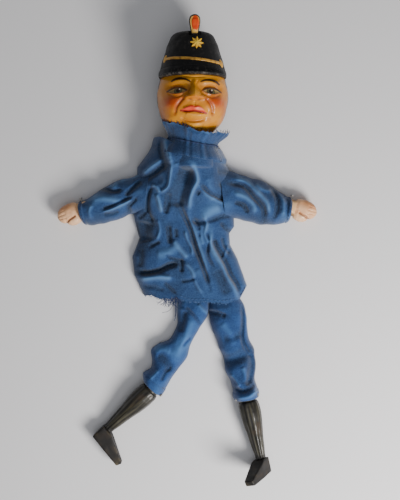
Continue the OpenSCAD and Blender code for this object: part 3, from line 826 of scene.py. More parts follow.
TROUSER_FOLDS_LEFT = [
    ([(-2.5, -47.9), (6.8, -57.2), (12.6, -65.3)], 1.5, 1.5, -1.6),
    ([(9, -46), (14, -51), (18.5, -55.5)], 1.4, 1.4, 1.2),
    ([(-1.4, -51), (-3.8, -61), (-6.4, -72)], 3.0, 3.2, -2.2),
    ([(4, -58), (1, -70), (-4, -82), (-12, -94)], 3.6, 3.6, 1.3),
    ([(-4, -84), (-1, -80), (3.4, -76)], 1.4, 1.4, -1.5),
    ([(-27, -90), (-21, -95), (-17, -101), (-17, -107)], 4.2, 4.2, -1.8),
    ([(-30, -88), (-24, -86), (-14, -88)], 3.4, 3.4, 1.0),
    ([(-14, -101), (-20, -107), (-23, -114)], 1.8, 1.8, -1.5),
    ([(-25, -104), (-30, -109), (-33, -112)], 1.6, 1.6, 1.1),
]
TROUSER_FOLDS_RIGHT = [
    ([(18, -53.0), (25, -53.4), (35, -56.5)], 1.6, 2.6, -2.0),
    ([(49.0, -46), (49.8, -60), (49.6, -80), (55, -92)], 1.6, 1.9, -2.2),
    ([(53.4, -50), (54, -62), (54.5, -74)], 1.3, 1.3, 1.5),
    ([(31, -77.5), (41, -75.5), (50, -72)], 3.0, 3.0, -1.2),
    ([(31, -98.5), (41, -95.5), (50, -92.0), (58, -88)], 5.2, 4.6, -3.8),
    ([(57, -88), (57.6, -101), (55.4, -112), (52, -119)], 3.2, 3.2, -3.4),
    ([(49, -101), (51, -107), (52.2, -115)], 2.2, 2.2, 1.6),
    ([(42, -120.5), (50, -122.6), (57, -119.5), (61, -117)], 2.0, 2.0, -2.2),
    ([(43, -128.6), (53, -127.4), (63, -121.5)], 2.0, 2.0, 1.5),
    ([(30, -62), (36, -70), (42, -84)], 3.2, 3.2, 1.2),
    ([(38, -108), (43, -113), (47, -119)], 1.6, 1.6, 1.5),
]


TROUSER_HEIGHTS = [9.5, 13.2, 14, 13.5, 13.2, 13.4, 14.2, 16.5, 19.4, 20.2]
# Where each boot's own axes start, and the knee above it
BOOT_TOPS = {"left": (-31.8, -121.7, 10.1), "right": (53.8, -131.6, 9.5)}
KNEES = {"left": (-20.85, -103.0), "right": (47.85, -107.2)}


def trouser(name, edge_a, edge_b, folds, seed, hip_x, turn):
    grid, wear = limb_grid(edge_a, edge_b, dense(210), TROUSER_HEIGHTS, folds, seed, 2.6, 0.8, cuff=6.5)
    a = math.radians(turn)
    d = np.array([math.sin(a), -math.cos(a), 0])
    p = np.array([*KNEES[name], 0.0])
    reach = ((grid.mean(axis=1) - p) * d).sum(axis=1)
    cut = int(np.argmin(np.abs(reach + 9)))
    grid, wear = tuck_end(grid, wear, 2.0, BOOT_TOPS[name], 0.82)
    seat = ("trouser_seat",) if name == "left" else ()
    cloth_limb(("trouser", name), grid, wear, cut, trouser_cloth,
               ("torso", f"thigh_{name}", (hip_x, -53, 14), (hip_x, -67, 14)),
               (f"thigh_{name}", f"shin_{name}", p - d * 6, p + d * 6),
               ((f"trouser_thigh_{name}", *seat), (f"trouser_shin_{name}",)))


trouser("left",
        [(-8.5, -40.5), (-9, -50), (-9.2, -64.8), (-16.5, -78.6), (-27, -83), (-32.2, -88), (-32, -98),
         (-33, -104), (-38.4, -107.5), (-39.2, -114.2)],
        [(19.5, -40.5), (19.6, -50), (17.9, -57.5), (10.3, -68.8), (3.2, -83), (-0.2, -94.5), (-8, -105),
         (-11.5, -109.5), (-16.4, -117.0), (-24.0, -127.8)],
        TROUSER_FOLDS_LEFT, 201, hip_x=4.0, turn=-36.0)
trouser("right",
        [(19, -40.5), (19, -48), (19.4, -57.5), (25.5, -77), (32, -95.7), (34.8, -108.5), (39.6, -118),
         (41.3, -126), (42.4, -132.4)],
        [(46.5, -40.5), (50.4, -46), (53.2, -57.2), (55.6, -78.2), (60, -88), (61.4, -104), (60.4, -114),
         (62.8, -121), (64.4, -128.6)],
        TROUSER_FOLDS_RIGHT, 231, hip_x=36.5, turn=12.0)

# ---------------------------------------------------------------- collar

COLLAR_TOP = [(-40, 112), (-20.1, 112.0), (-8.6, 109.1), (0.6, 105.6), (9.8, 102.4), (19, 100.6), (26, 102.6),
              (34.6, 102.8), (60, 102)]
COLLAR_LINE = [(-40, 100.5), (-16.6, 99.0), (-6.3, 96.0), (5.2, 93.4), (16.7, 91.6), (30.5, 91.9), (60, 92)]


COLLAR_WAIST = 0.42  # how far up the collar its gathering thread runs, from 0 to 1


def collar_grid(rows, cols):
    t = np.linspace(0, 1, rows)[:, None]
    ang = (np.arange(cols) * 2 * math.pi / cols)[None]
    coarse = np.sin(15 * ang + 2.3 * np.sin(3 * ang)) * 0.5
    fine = 0.35 * np.sin(27 * ang + 2 + np.sin(5 * ang))
    gathers = (coarse + fine) * (0.8 + 0.5 * np.sin(4 * ang + 1))
    waist = COLLAR_WAIST
    tight = np.exp(-(((t - waist) / 0.10) ** 2))
    skirt = smooth(waist, 0.0, t)
    flare = smooth(waist, 1.0, t)
    radius = 21.2 + 4.6 * skirt + 5.4 * flare + gathers * (0.75 * tight + 0.9 * flare + 0.6 * skirt)
    radius = radius + flare * 1.3 * np.sin(5 * ang + 0.7)
    crumple = (1.6 * value_noise(ang * 19 + 4 * t, t * 15, 7, 305)
               + 0.5 * value_noise(ang * 19, t * 15, 3, 306))
    radius = radius + flare * crumple
    x = HEAD_X + 1.4 * flare + radius * np.sin(ang) * (1 + 0.04 * flare)
    line, top = at(COLLAR_LINE, x), at(COLLAR_TOP, x)
    y = np.where(t < waist, line - 13 * (1 - t / waist), line + (top - line) * (t - waist) / (1 - waist))
    y += smooth(0.93, 1, t) * value_noise(x, radius * np.cos(ang), 2.2, 301)
    z = HEAD_Z + radius * np.cos(ang)
    z = np.maximum(z, 1.0 + 0.5 * np.sin(7 * ang))
    z = np.minimum(z, 56.5)
    # Lighter on the gathers' ridges and at the frayed top; painted darker at the drawn-in waist and between
    # gathers, as shade
    wear = np.clip(0.42 + 0.16 * gathers * (1 + tight) - 0.25 * tight + 0.35 * smooth(0.9, 1, t)
                   + 0.1 * value_noise(x, y, 6, 302), 0.02, 1)
    return np.stack([x, y, z], axis=2), np.broadcast_to(wear, x.shape)


collar_rings, collar_wear = collar_grid(dense(80), dense(360))
collar = Piece("collar_cloth")
add_tube(collar, collar_rings, collar_wear, tunic_cloth, shaded_inner_cloth, 0.55)
ring = collar_rings[int(COLLAR_WAIST * (len(collar_rings) - 1))]
centre = ring.mean(axis=0)
away = ring - centre
away /= np.linalg.norm(away, axis=1, keepdims=True)
loop = np.concatenate([ring, ring[:1]]) + np.concatenate([away, away[:1]]) * 0.35
v, f = thread_tube(loop, 0.5, 6)
collar.add(v, f, navy_thread)
fray = np.random.default_rng(12)
for k in fray.integers(0, collar_rings.shape[1], dense(150)):
    x, y, z = collar_rings[-1, k]
    if z > 8:
        d = np.array([fray.uniform(-0.5, 0.5), 1.0, fray.uniform(-0.3, 0.3)]) * fray.uniform(0.8, 3.2)
        mid = d * 0.5 + fray.uniform(-0.4, 0.4, 3)
        root = np.array([x, y, z])
        v, f = thread_tube([root - [0, 0.3, 0], root + mid, root + d], 0.13, 4)
        collar.add(v, f, navy_thread)
collar_ob = collar.make()
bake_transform(collar_ob)
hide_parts("collar", "collar_cord")

# ---------------------------------------------------------------- head


def turned(profile, cols, front_dense=False):
    """Rings about the head's axis from (place, radius) pairs; front_dense packs points at the front."""
    p = np.array(profile, float)
    t = (np.arange(cols) - cols / 2) / (cols / 2)
    ang = math.pi * (np.sign(t) * np.abs(t) ** 1.3 if front_dense else t)
    x = HEAD_X + p[:, 1:2] * np.sin(ang)[None]
    z = HEAD_Z + p[:, 1:2] * np.cos(ang)[None]
    return np.stack([x, np.broadcast_to(p[:, :1], x.shape), z], axis=2)


def arc(cx, cy, half, rise, n=7):
    t = np.linspace(-1, 1, n)
    return [(cx + half * a, cy + rise * (1 - a * a)) for a in t]


EYES = [(-8.2, 136.0, 8.4, -7.3, 136.3), (21.4, 135.8, 8.0, 20.9, 135.7)]
MOUTH_LINE = [(-4.6, 119.4), (1, 118.5), (6.5, 118.9), (12, 118.0), (16.4, 117.2)]
UPPER_LIP = [(-3.2, 119.9), (1, 121.2), (4.1, 122.0), (7, 121.2), (9.9, 121.8), (13, 119.9), (15.4, 118.2)]
LOWER_LIP = [(-1.2, 117.0), (2.6, 115.6), (6.6, 115.1), (10.6, 115.2), (13.8, 116.2)]
CHEEK_LINES = [[(-2.2, 130.4), (-5.6, 126), (-8.4, 121.5), (-9.2, 116.6)],
               [(16.4, 129.6), (19.4, 125.5), (21.4, 121), (21.6, 116.4)]]
CHIN_LINE = [(-5.6, 115.2), (-1, 112.4), (5.6, 110.9), (11.6, 111.8), (16.6, 114.4)]

neck_rows = [(76, 9), (76, 15.8), (76.4, 16.5), (80.5, 16.5), (82.5, 14.6), (95, 14.6), (97, 15.5)]
head_side = [(102.5, 15.8), (104.4, 17.8), (107, 20.6), (110, 23.4), (113, 25.6), (117, 27.4), (121, 28.8),
             (126, 29.8), (131, 30.4), (137, 30.7), (143, 30.1), (147.5, 29.0), (151.2, 28.3)]
face_y = np.linspace(102.5, 151.2, dense(250))
# Soften the corners of the turned profile
radii = np.interp(face_y, *np.array(head_side).T)
kernel = np.hanning(max(5, dense(25)))
kernel /= kernel.sum()
pad = len(kernel) // 2
radii = np.convolve(np.pad(radii, pad, mode="edge"), kernel, mode="valid")[: len(radii)]
rows_all = ([(112, 0.4), (112, 9)] + neck_rows + list(zip(face_y, radii))
            + [(151.5, 27), (151.5, 13), (163, 13), (163, 0.4)])
head_grid = turned(rows_all, dense(420), front_dense=True)
x, y, z = head_grid[..., 0], head_grid[..., 1], head_grid[..., 2]
facing = smooth(2, 16, z - HEAD_Z) * smooth(101, 106, y) * smooth(151.6, 148.5, y)
up = np.zeros_like(x)
for cx, cy, half, ix, iy in EYES:
    up -= 3.0 * bell(x, y, cx, cy + 0.8, half * 0.95, 4.4)
    up += 2.0 * bell(x, y, cx, cy - 0.2, half * 0.72, 2.6)
    up += fold_field(x, y, [(arc(cx, cy + 0.1, half, 2.9), 0.8, 1.3, 1.1),
                            (arc(cx, cy - 0.2, half * 0.9, -2.4), 0.9, 0.7, 0.55),
                            (arc(cx, cy - 1.4, half * 0.85, -3.8), 0.9, 0.9, -0.5),
                            (arc(cx, cy + 1.4, half * 0.9, 3.6), 0.6, 0.6, -0.6)])
up += 1.5 * bell(x, y, -6, 144.6, 8.5, 2.6) + 1.5 * bell(x, y, 20.4, 143.6, 8.5, 2.6)
# The nose is a carved wedge: its ridge rises towards the tip and its base is cut off
down = smooth(144.5, 130.2, y)
half_width = 2.6 + 5.2 * down**1.6
wedge = np.clip(1 - np.abs(x - 6.6 - 0.4 * down) / half_width, 0, 1)
up += (1.4 + 6.6 * down) * (wedge * (1.6 - 0.6 * wedge)) * smooth(128.2, 130.0, y) * smooth(146.5, 142, y)
up += 1.7 * bell(x, y, 0.9, 130.2, 2.5, 2.0) + 1.7 * bell(x, y, 13.8, 130.0, 2.5, 2.0)
up += 2.3 * bell(x, y, -12, 126.5, 8, 6.5) + 2.3 * bell(x, y, 25, 126.2, 8, 6.5)
up += 1.8 * bell(x, y, 6.5, 119, 12, 6.0)
up += 3.6 * bell(x, y, 7.6, 107.4, 8.0, 4.0)
up += 1.0 * bell(x, y, -13, 113.5, 6, 5) + 1.0 * bell(x, y, 28, 113.5, 6, 5)
up += fold_field(x, y, [(c, 1.3, 1.3, -1.2) for c in CHEEK_LINES])
up += fold_field(x, y, [
    (UPPER_LIP, 1.4, 1.4, 1.2), (MOUTH_LINE, 0.7, 0.9, -1.3),
    (LOWER_LIP, 1.9, 1.9, 1.3), (CHIN_LINE, 1.3, 1.5, -1.6),
    ([(7, 127), (7, 123.4)], 0.9, 0.9, -0.5), ([(-4, 148.6), (6, 147.4), (17, 148.2)], 0.6, 0.6, -0.35),
    ([(3.6, 144.5), (4.6, 141)], 0.7, 0.7, -0.6), ([(9.2, 144.2), (8.4, 141)], 0.7, 0.7, -0.6)])
# Knife work: soft facets all over
on_head = smooth(100, 106, y) * smooth(151.4, 150, y)
carved = 0.22 * value_noise(x, y + z, 5.5, 401) + 0.10 * value_noise(x - z, y, 2.4, 402)
ear = 1.6 * bell(y, z, 133, 24, 7, 4.5) - 1.1 * bell(y, z, 133, 24, 4, 2.2)
push = facing * up + on_head * (carved + ear * (np.abs(x - HEAD_X) > 20))
nx, nz = x - HEAD_X, z - HEAD_Z
length = np.maximum(np.hypot(nx, nz), 1e-6)
head_grid = np.stack([x + push * nx / length, y, np.maximum(z + push * nz / length, 0.02)], axis=2)

OCHRE, RUST, SCARLET = (208, 140, 26), (172, 50, 6), (226, 76, 54)
BROWN, BLACK, DARK_RED = (48, 30, 20), (14, 12, 10), (96, 18, 14)
skin = Coat(OCHRE, x.shape)
blotches = value_noise(x, y, 8, 411) + 0.4 * value_noise(x, y, 3, 412)
skin.add((184, 108, 18), 0.5 * smooth(0.1, 0.9, blotches))
# Painted highlights on the chin, the ridge of the nose and the brow
painted_highlight_chin_nose_brow = (0.45 * bell(x, y, 7, 108, 8, 4.5) + 0.5 * bell(x, y, 7, 131.5, 2.6, 6)
                  + 0.35 * bell(x, y, 5, 148, 18, 4))
skin.add((238, 178, 60), facing * painted_highlight_chin_nose_brow)
# Painted shade: darker on the sides and underside of the head, away from the face
skin.add((186, 118, 20), 0.65 * (1 - smooth(4, 20, z - HEAD_Z)))
f = np.where(facing > 0.02, 1.0, 0.0)  # paint only on the front
cheeks = 0.95 * bell(x, y, -11, 127.2, 8.5, 6) + 0.95 * bell(x, y, 24, 127.4, 8.5, 6)
skin.add(RUST, f * np.clip(cheeks, 0, 0.85))
skin.add(RUST, f * 0.5 * bell(x, y, 7, 129.4, 5.5, 1.8))
# Painted shade under the lower lip and down the sides of the jaw
painted_shade_under_lip_and_jaw = bell(x, y, 7.5, 110.8, 11, 2.2) + bell(x, y, -20, 118, 5, 12) + bell(x, y, 33, 118, 5, 12)
skin.add((170, 84, 30), f * 0.55 * np.clip(painted_shade_under_lip_and_jaw, 0, 1))
# Painted shade along the carved cheek grooves
for c in CHEEK_LINES:
    skin.add((150, 62, 24), f * 0.6 * smooth(2.0, 0.4, line_distance(x, y, c)[0]))
for cx, cy, half, ix, iy in EYES:
    # Painted shade in the hollow of the eye socket
    skin.add((150, 84, 34), f * 0.6 * bell(x, y, cx, cy + 1.5, half * 1.15, 5.4))
    v = 1 - ((x - cx) / half) ** 2
    top_lid, low_lid = cy + 2.7 * v, cy - 2.5 * v
    inside = smooth(-0.15, 0.25, top_lid - y) * smooth(-0.15, 0.25, y - low_lid) * (v > 0)
    skin.add((150, 128, 76), f * inside)
    iris = np.hypot(x - ix, y - iy)
    skin.add((92, 98, 62), f * inside * smooth(3.5, 3.0, iris))
    iris_edge = smooth(3.6, 3.3, iris) * smooth(2.7, 3.1, iris)
    skin.add((40, 42, 30), f * inside * iris_edge)
    skin.add(BLACK, f * inside * smooth(2.1, 1.6, iris))
    glint = smooth(0.75, 0.45, np.hypot(x - ix - 1.1, y - iy - 1.0))
    skin.add((240, 240, 230), f * inside * glint)
    lid = line_distance(x, y, arc(cx, cy, half, 2.7, 15))[0]
    skin.add(BROWN, f * 0.95 * smooth(1.0, 0.45, lid))
    low = line_distance(x, y, arc(cx, cy, half * 0.95, -2.5, 15))[0]
    skin.add((112, 58, 26), f * 0.75 * smooth(0.6, 0.25, low))
BROWS = [([(-12.2, 144.4), (-8.8, 145.9), (-5.3, 146.3), (-1, 145.5), (3, 143.6)], True),
         ([(12.1, 143.4), (16, 144.9), (20.1, 145.1), (24, 144.2), (27.3, 142.3)], False)]
for brow, thick_first in BROWS:
    d, along, _ = line_distance(x, y, spline(brow, np.linspace(0, 1, 20)))
    k = 1 - along if thick_first else along
    width = 0.45 + 1.15 * np.sin(math.pi * np.clip(0.15 + 0.75 * k, 0, 1)) * (0.35 + 0.65 * k)
    width = width + 0.18 * value_noise(x, y, 0.9, 421)
    skin.add(BROWN, f * 0.95 * smooth(0.2, -0.25, d - width))
# Only the upper lip is painted, with a cupid's bow and a dark line under it
bow = at([(-5, 119.2), (-3, 120.4), (1, 122.2), (4.1, 123.7), (7, 122.7), (9.9, 123.3), (13, 121),
          (16.6, 117.4)], x)
line_y = at(MOUTH_LINE, x)
lips = smooth(-0.3, 0.3, bow - y) * smooth(-0.3, 0.2, y - line_y) * (x > -5) * (x < 16.8)
skin.add(SCARLET, f * 0.95 * lips)
# Painted highlight on the upper lip
skin.add((244, 150, 120), f * 0.8 * bell(x, y, 10.5, 120.3, 2.6, 1.0))
from_mouth = line_distance(x, y, spline(MOUTH_LINE, np.linspace(0, 1, 24)))[0]
skin.add((176, 40, 28), f * 0.9 * smooth(1.1, 0.5, from_mouth))
skin.add(DARK_RED, f * 0.6 * smooth(0.75, 0.3, from_mouth))
# Painted shadow down the left side of the nose, and lighter painted shade down its right side
skin.add((104, 50, 10), f * 0.6 * bell(x, y, 2.6, 135.4, 2.0, 5.2))
skin.add((150, 82, 20), f * 0.4 * bell(x, y, 12.6, 134.6, 2.0, 4.6))
for cx, cy in ((-1.8, 128.6), (15.6, 128.4)):
    skin.add((110, 44, 20), f * 0.8 * bell(x, y, cx, cy, 1.2, 0.9))
for cx, cy in ((3.6, 128.3), (10.6, 128.2)):
    skin.add((90, 30, 16), f * 0.75 * bell(x, y, cx, cy, 1.5, 0.7))
# Painted hair at the temples and the back, up to the hat
hair = smooth(0.5, -0.6, z - HEAD_Z - 1.5 + 0.5 * value_noise(x, y, 3, 431)) * smooth(112, 118, y)
sideburn = smooth(1.4, 0.8, np.abs(x + 26.2)) * smooth(140.5, 143, y) * (z > HEAD_Z) * (y < 151.5)
skin.add((40, 26, 18), 0.92 * np.maximum(hair, sideburn) * on_head)
hairline = smooth(139.5, 142.5, y + 1.2 * value_noise(x, z, 3, 419))
skin.add((26, 21, 18), 0.9 * smooth(HEAD_Z + 11, HEAD_Z + 7, z) * hairline)
skin.add((214, 140, 36), smooth(103, 100, y))
# Painted shade in the carved hollows, darker where the carving dips deeper
painted_hollow_shade = np.clip(-up * facing, 0, 2.2) / 2.2
skin.add((120, 62, 24), 0.40 * painted_hollow_shade)

head = Piece("head_carving")
head.add(head_grid, grid_faces(*head_grid.shape[:2], True), head_paint, None,
         np.clip(0.25 + 0.5 * smooth(0.3, 1.2, push), 0, 1).ravel(), skin.colour)
head_ob = head.make()
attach(head_ob, "head")
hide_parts("head_block")

# ---------------------------------------------------------------- hat


RIM_Y = 151.2


def hat_radius(h):
    """Radius of the shako at a place along Y."""
    return np.interp(h, [RIM_Y, 155.2, 167.2, 179.2, 185.6], [29.4, 29.4, 25.8, 22.0, 19.3])


PLUME_X = 6.9  # the plume and its notch stand a little to one side
hat_y = np.linspace(151.9, 185.2, dense(110))
hat_rows = ([(163.2, 0.4), (163.2, 13), (151.3, 13), (151.25, 28.4), (151.3, 29.0), (151.55, 29.35)]
            + list(zip(hat_y, hat_radius(hat_y)))
            + [(186.2, 18.95), (187.2, 18.3), (188.2, 17.3), (189.0, 16.0), (189.6, 14.2), (189.95, 11.5),
               (189.98, 6), (189.98, 0.4)])
hat_grid = turned(hat_rows, dense(300))
x, y, z = (hat_grid[..., k] for k in range(3))
knife = 0.16 * value_noise(x + z, y, 6, 441) + 0.10 * value_noise(x - z, y * 0.6, 3, 442)
# A turned groove above the rim and a dent or two from use
knife = knife - 0.35 * np.exp(-(((y - 157.6) / 0.5) ** 2)) - 0.5 * bell(x, y, -8, 181, 2.5, 2.0) * (z > 30)
k = smooth(151.4, 152.4, y) * smooth(189.9, 188, y)
nx, nz = x - HEAD_X, z - HEAD_Z
length = np.maximum(np.hypot(nx, nz), 1e-6)
cut_x, cut_z = x + k * knife * nx / length, np.maximum(z + k * knife * nz / length, 0.75)
# Notch at the front of the crown, where the plume stands
in_notch = (y > 184.7) & (np.abs(x - PLUME_X) < 5.0)
hat_grid = np.stack([cut_x, y, np.where(in_notch, np.minimum(cut_z, 43.4), cut_z)], axis=2)
edge_wear = np.exp(-(((y - 153.2) / 2.0) ** 2)) + 0.9 * np.exp(-(((y - 187.2) / 1.3) ** 2)) + 0.35
ink = Coat((17, 17, 18), x.shape)
rubbed = smooth(0.45, 0.75, value_noise(x * 1.2, y, 1.6, 443) + 0.3 * value_noise(x, y, 0.8, 444))
ink.add((74, 72, 70), 0.75 * rubbed * np.exp(-(((y - 153.6) / 1.8) ** 2)))
hat = Piece("hat_crown")
hat.add(hat_grid, grid_faces(*hat_grid.shape[:2], True), hat_paint, None, edge_wear.ravel(), ink.colour)
hat_ob = hat.make()
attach(hat_ob, "head")
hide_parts("shako")

# The short peak: a thin crescent with a rounded edge
n_arc = dense(120)
phi = np.radians(np.linspace(-79, 79, n_arc))
section = []
for q, dy in ((0.0, 0.0), (0.5, -0.1), (0.9, -0.3), (1.0, -0.9), (0.97, -1.7), (0.6, -1.95), (0.0, -1.95)):
    outer = np.stack([HEAD_X + 29.3 * np.sin(phi), HEAD_Z + 9.5 + 29.2 * np.cos(phi)], axis=1)
    inner = np.stack([HEAD_X + 28.9 * np.sin(phi), HEAD_Z + 28.9 * np.cos(phi)], axis=1)
    p = inner + (outer - inner) * q
    py = RIM_Y + dy + 0.12 * value_noise(p[:, 0], p[:, 1], 3, 450)
    section.append(np.stack([p[:, 0], py, p[:, 1]], axis=1))
peak_grid = np.stack(section, axis=1)
faces = grid_faces(n_arc, len(section), True) + cap_faces(n_arc, len(section))
peak_wear = np.tile([0.4, 0.5, 1.2, 1.6, 1.2, 0.5, 0.3], n_arc)
fleck = value_noise(peak_grid[..., 0], peak_grid[..., 2], 1.4, 451)
peak_ink = Coat((18, 18, 19), peak_grid.shape[:2])
peak_ink.add((92, 86, 80), 0.7 * smooth(0.25, 0.6, fleck))
peak = Piece("hat_peak")
peak.add(peak_grid, faces, hat_paint, None, peak_wear, peak_ink.colour)
peak_ob = peak.make()
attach(peak_ob, "head")
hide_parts("peak")

# The gold band: a painted carved cord across the front, and the two side buttons
n_arc = dense(160)
phi = np.radians(np.linspace(-62, 62, n_arc))
band = Piece("hat_braid")
section = []
for dy, out in ((-1.3, 0.02), (-1.15, 0.4), (-0.8, 0.7), (-0.35, 0.72), (0.0, 0.66), (0.35, 0.72),
                (0.8, 0.7), (1.15, 0.4), (1.3, 0.02)):
    yc = 163.5 - 0.085 * 26.5 * np.sin(phi)
    rad = hat_radius(yc + dy) + out + 0.05 * np.sin(phi * 40 + dy * 3)
    section.append(np.stack([HEAD_X + rad * np.sin(phi), yc + dy, HEAD_Z + rad * np.cos(phi)], axis=1))
band_grid = np.stack(section, axis=1)
tone = value_noise(band_grid[..., 0], band_grid[..., 1], 2.0, 461)
gold = Coat((206, 156, 62), band_grid.shape[:2])
gold.add((122, 82, 30), 0.7 * smooth(0.1, 0.8, tone))
faces = grid_faces(n_arc, len(section), False) + cap_faces(n_arc, len(section))
band.add(band_grid, faces, gold_paint, None, 0.8, gold.colour)
for side in (-1, 1):
    # A domed oval button on each side
    rows, cols = 9, dense(40)
    t = np.linspace(0, math.pi / 2, rows)[:, None]
    a = (np.arange(cols) * 2 * math.pi / cols)[None]
    lean = math.atan(0.3)
    out = 1.7 * np.cos(t) + 0 * a
    v = 4.0 * np.sin(t) * np.cos(a)
    w = 3.0 * np.sin(t) * np.sin(a)
    rim = 26.2 + 0.6 * side + out * math.cos(lean) - v * math.sin(lean) - w * w * 0.02
    by = 163.6 - side * 1.9 + v * math.cos(lean) + out * math.sin(lean)
    turn = math.radians(side * 64)
    bx = HEAD_X + rim * math.sin(turn) + w * math.cos(turn)
    bz = HEAD_Z + rim * math.cos(turn) - w * math.sin(turn)
    dome = np.stack([bx, by, bz], axis=2)
    band.add(dome, grid_faces(rows, cols, True), gold_paint, None, 0.7, colour3(214, 164, 66))
band_ob = band.make()
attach(band_ob, "head")
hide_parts("hat_band", "band_buttons")

# The eight-pointed star, its points ridged; its paint is lighter at the raised centre and darker at the low
# inner corners and the underside, as painted light and shade
star = Piece("hat_star")
pts, lit_and_shaded_tints = [(0, 0, 1.5)], [colour3(250, 214, 70)]
for i in range(16):
    r = 5.7 if i % 2 == 0 else 3.5
    a = i * math.pi / 8 + 0.06
    pts.append((r * math.sin(a), r * math.cos(a), 0.75 if i % 2 == 0 else 0.35))
    lit_and_shaded_tints.append(colour3(240, 196, 52) if i % 2 == 0 else colour3(190, 128, 36))
pts += [(px, py, -0.6) for px, py, _ in pts[1:]]
lit_and_shaded_tints += [colour3(150, 96, 30)] * 16
tilt = math.radians(17.5)
placed = []
for px, py, pz in pts:
    placed.append((8.7 + px, 177.7 + py * math.cos(tilt) + pz * math.sin(tilt),
                   52.75 - py * math.sin(tilt) + pz * math.cos(tilt) - px * 0.10 - 0.02 * px * px))
faces = [(0, 1 + (i + 1) % 16, 1 + i) for i in range(16)]
faces += [(1 + i, 1 + (i + 1) % 16, 17 + (i + 1) % 16, 17 + i) for i in range(16)]
star.add(placed, faces, gold_paint, None, 0.3, np.array(lit_and_shaded_tints), flat=True)
star_ob = star.make()
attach(star_ob, "head")
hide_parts("star_badge")

# The plume: a carved leaf with a dark edge, a pale rim and an orange-red middle
n_out, n_in = dense(96), dense(34)
half = [(184.6, 2.9), (188, 3.4), (192, 4.1), (196, 4.75), (199, 4.8), (201.3, 4.1), (202.8, 2.7),
        (203.55, 0.9)]
right_side = spline([(PLUME_X + w, h) for h, w in half], np.linspace(0, 1, n_out // 2))
left_side = spline([(PLUME_X - w, h) for h, w in half], np.linspace(0, 1, n_out // 2))[::-1]
outline = np.concatenate([right_side, left_side])
mid = np.array([7.0, 195.0])
rho = np.linspace(0.02, 1, n_in)
leaf = mid[None, None] + (outline[None] - mid) * rho[:, None, None]
dome = (47.0 + 0.65 * (1 - smooth(0.45, 0.62, rho)) - 1.3 * smooth(0.88, 1.0, rho) ** 2
        - 0.2 * smooth(0.62, 0.75, rho))
leaf_z = dome[:, None] + 0.12 * value_noise(leaf[..., 0], leaf[..., 1], 2, 471)
core = np.hypot((leaf[..., 0] - 7.4) / 3.2, (leaf[..., 1] - 195.6) / 6.6)
tint = Coat((240, 192, 92), leaf.shape[:2])
tint.add((214, 66, 14), smooth(1.06, 0.96, core))
tint.add((226, 96, 24), 0.5 * smooth(0.6, 0.1, core))
tint.add((24, 20, 18), smooth(0.80, 0.85, rho[:, None] + 0.04 * (leaf[..., 0] < PLUME_X)))
tint.add((20, 18, 18), smooth(187.4, 186.4, leaf[..., 1]))
top_grid = np.concatenate([leaf, leaf_z[..., None]], axis=2)
# Two rings down the edge and one at the middle close the back
back = [np.column_stack([line, np.full(len(outline), h)])
        for line, h in ((outline, 45.0), (outline, 43.8), (mid + (outline - mid) * 0.02, 43.75))]
leaf_all = np.concatenate([top_grid, np.stack(back)])
tint_all = np.concatenate([tint.colour, Coat((22, 19, 18), (3, len(outline))).colour])
plume = Piece("hat_plume")
plume.add(leaf_all, grid_faces(*leaf_all.shape[:2], True, flip=True), plume_paint, None, 0.6, tint_all)
plume_ob = plume.make()
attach(plume_ob, "head")
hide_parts("plume", "plume_core")

# ---------------------------------------------------------------- hands


def ellipse_rings(rings, cols):
    """Places along, across and up of rings given as (along, low, high, half height)."""
    a = (np.arange(cols) * 2 * math.pi / cols)[None]
    r = np.array(rings, float)
    mid, half = (r[:, 1:2] + r[:, 2:3]) / 2, (r[:, 2:3] - r[:, 1:2]) / 2

    def squared(v):
        return np.sign(v) * np.abs(v) ** 0.86

    across = mid + half * squared(np.cos(a))
    up = r[:, 3:4] * squared(np.sin(a))
    along = np.broadcast_to(r[:, :1], across.shape)
    return along, across, up


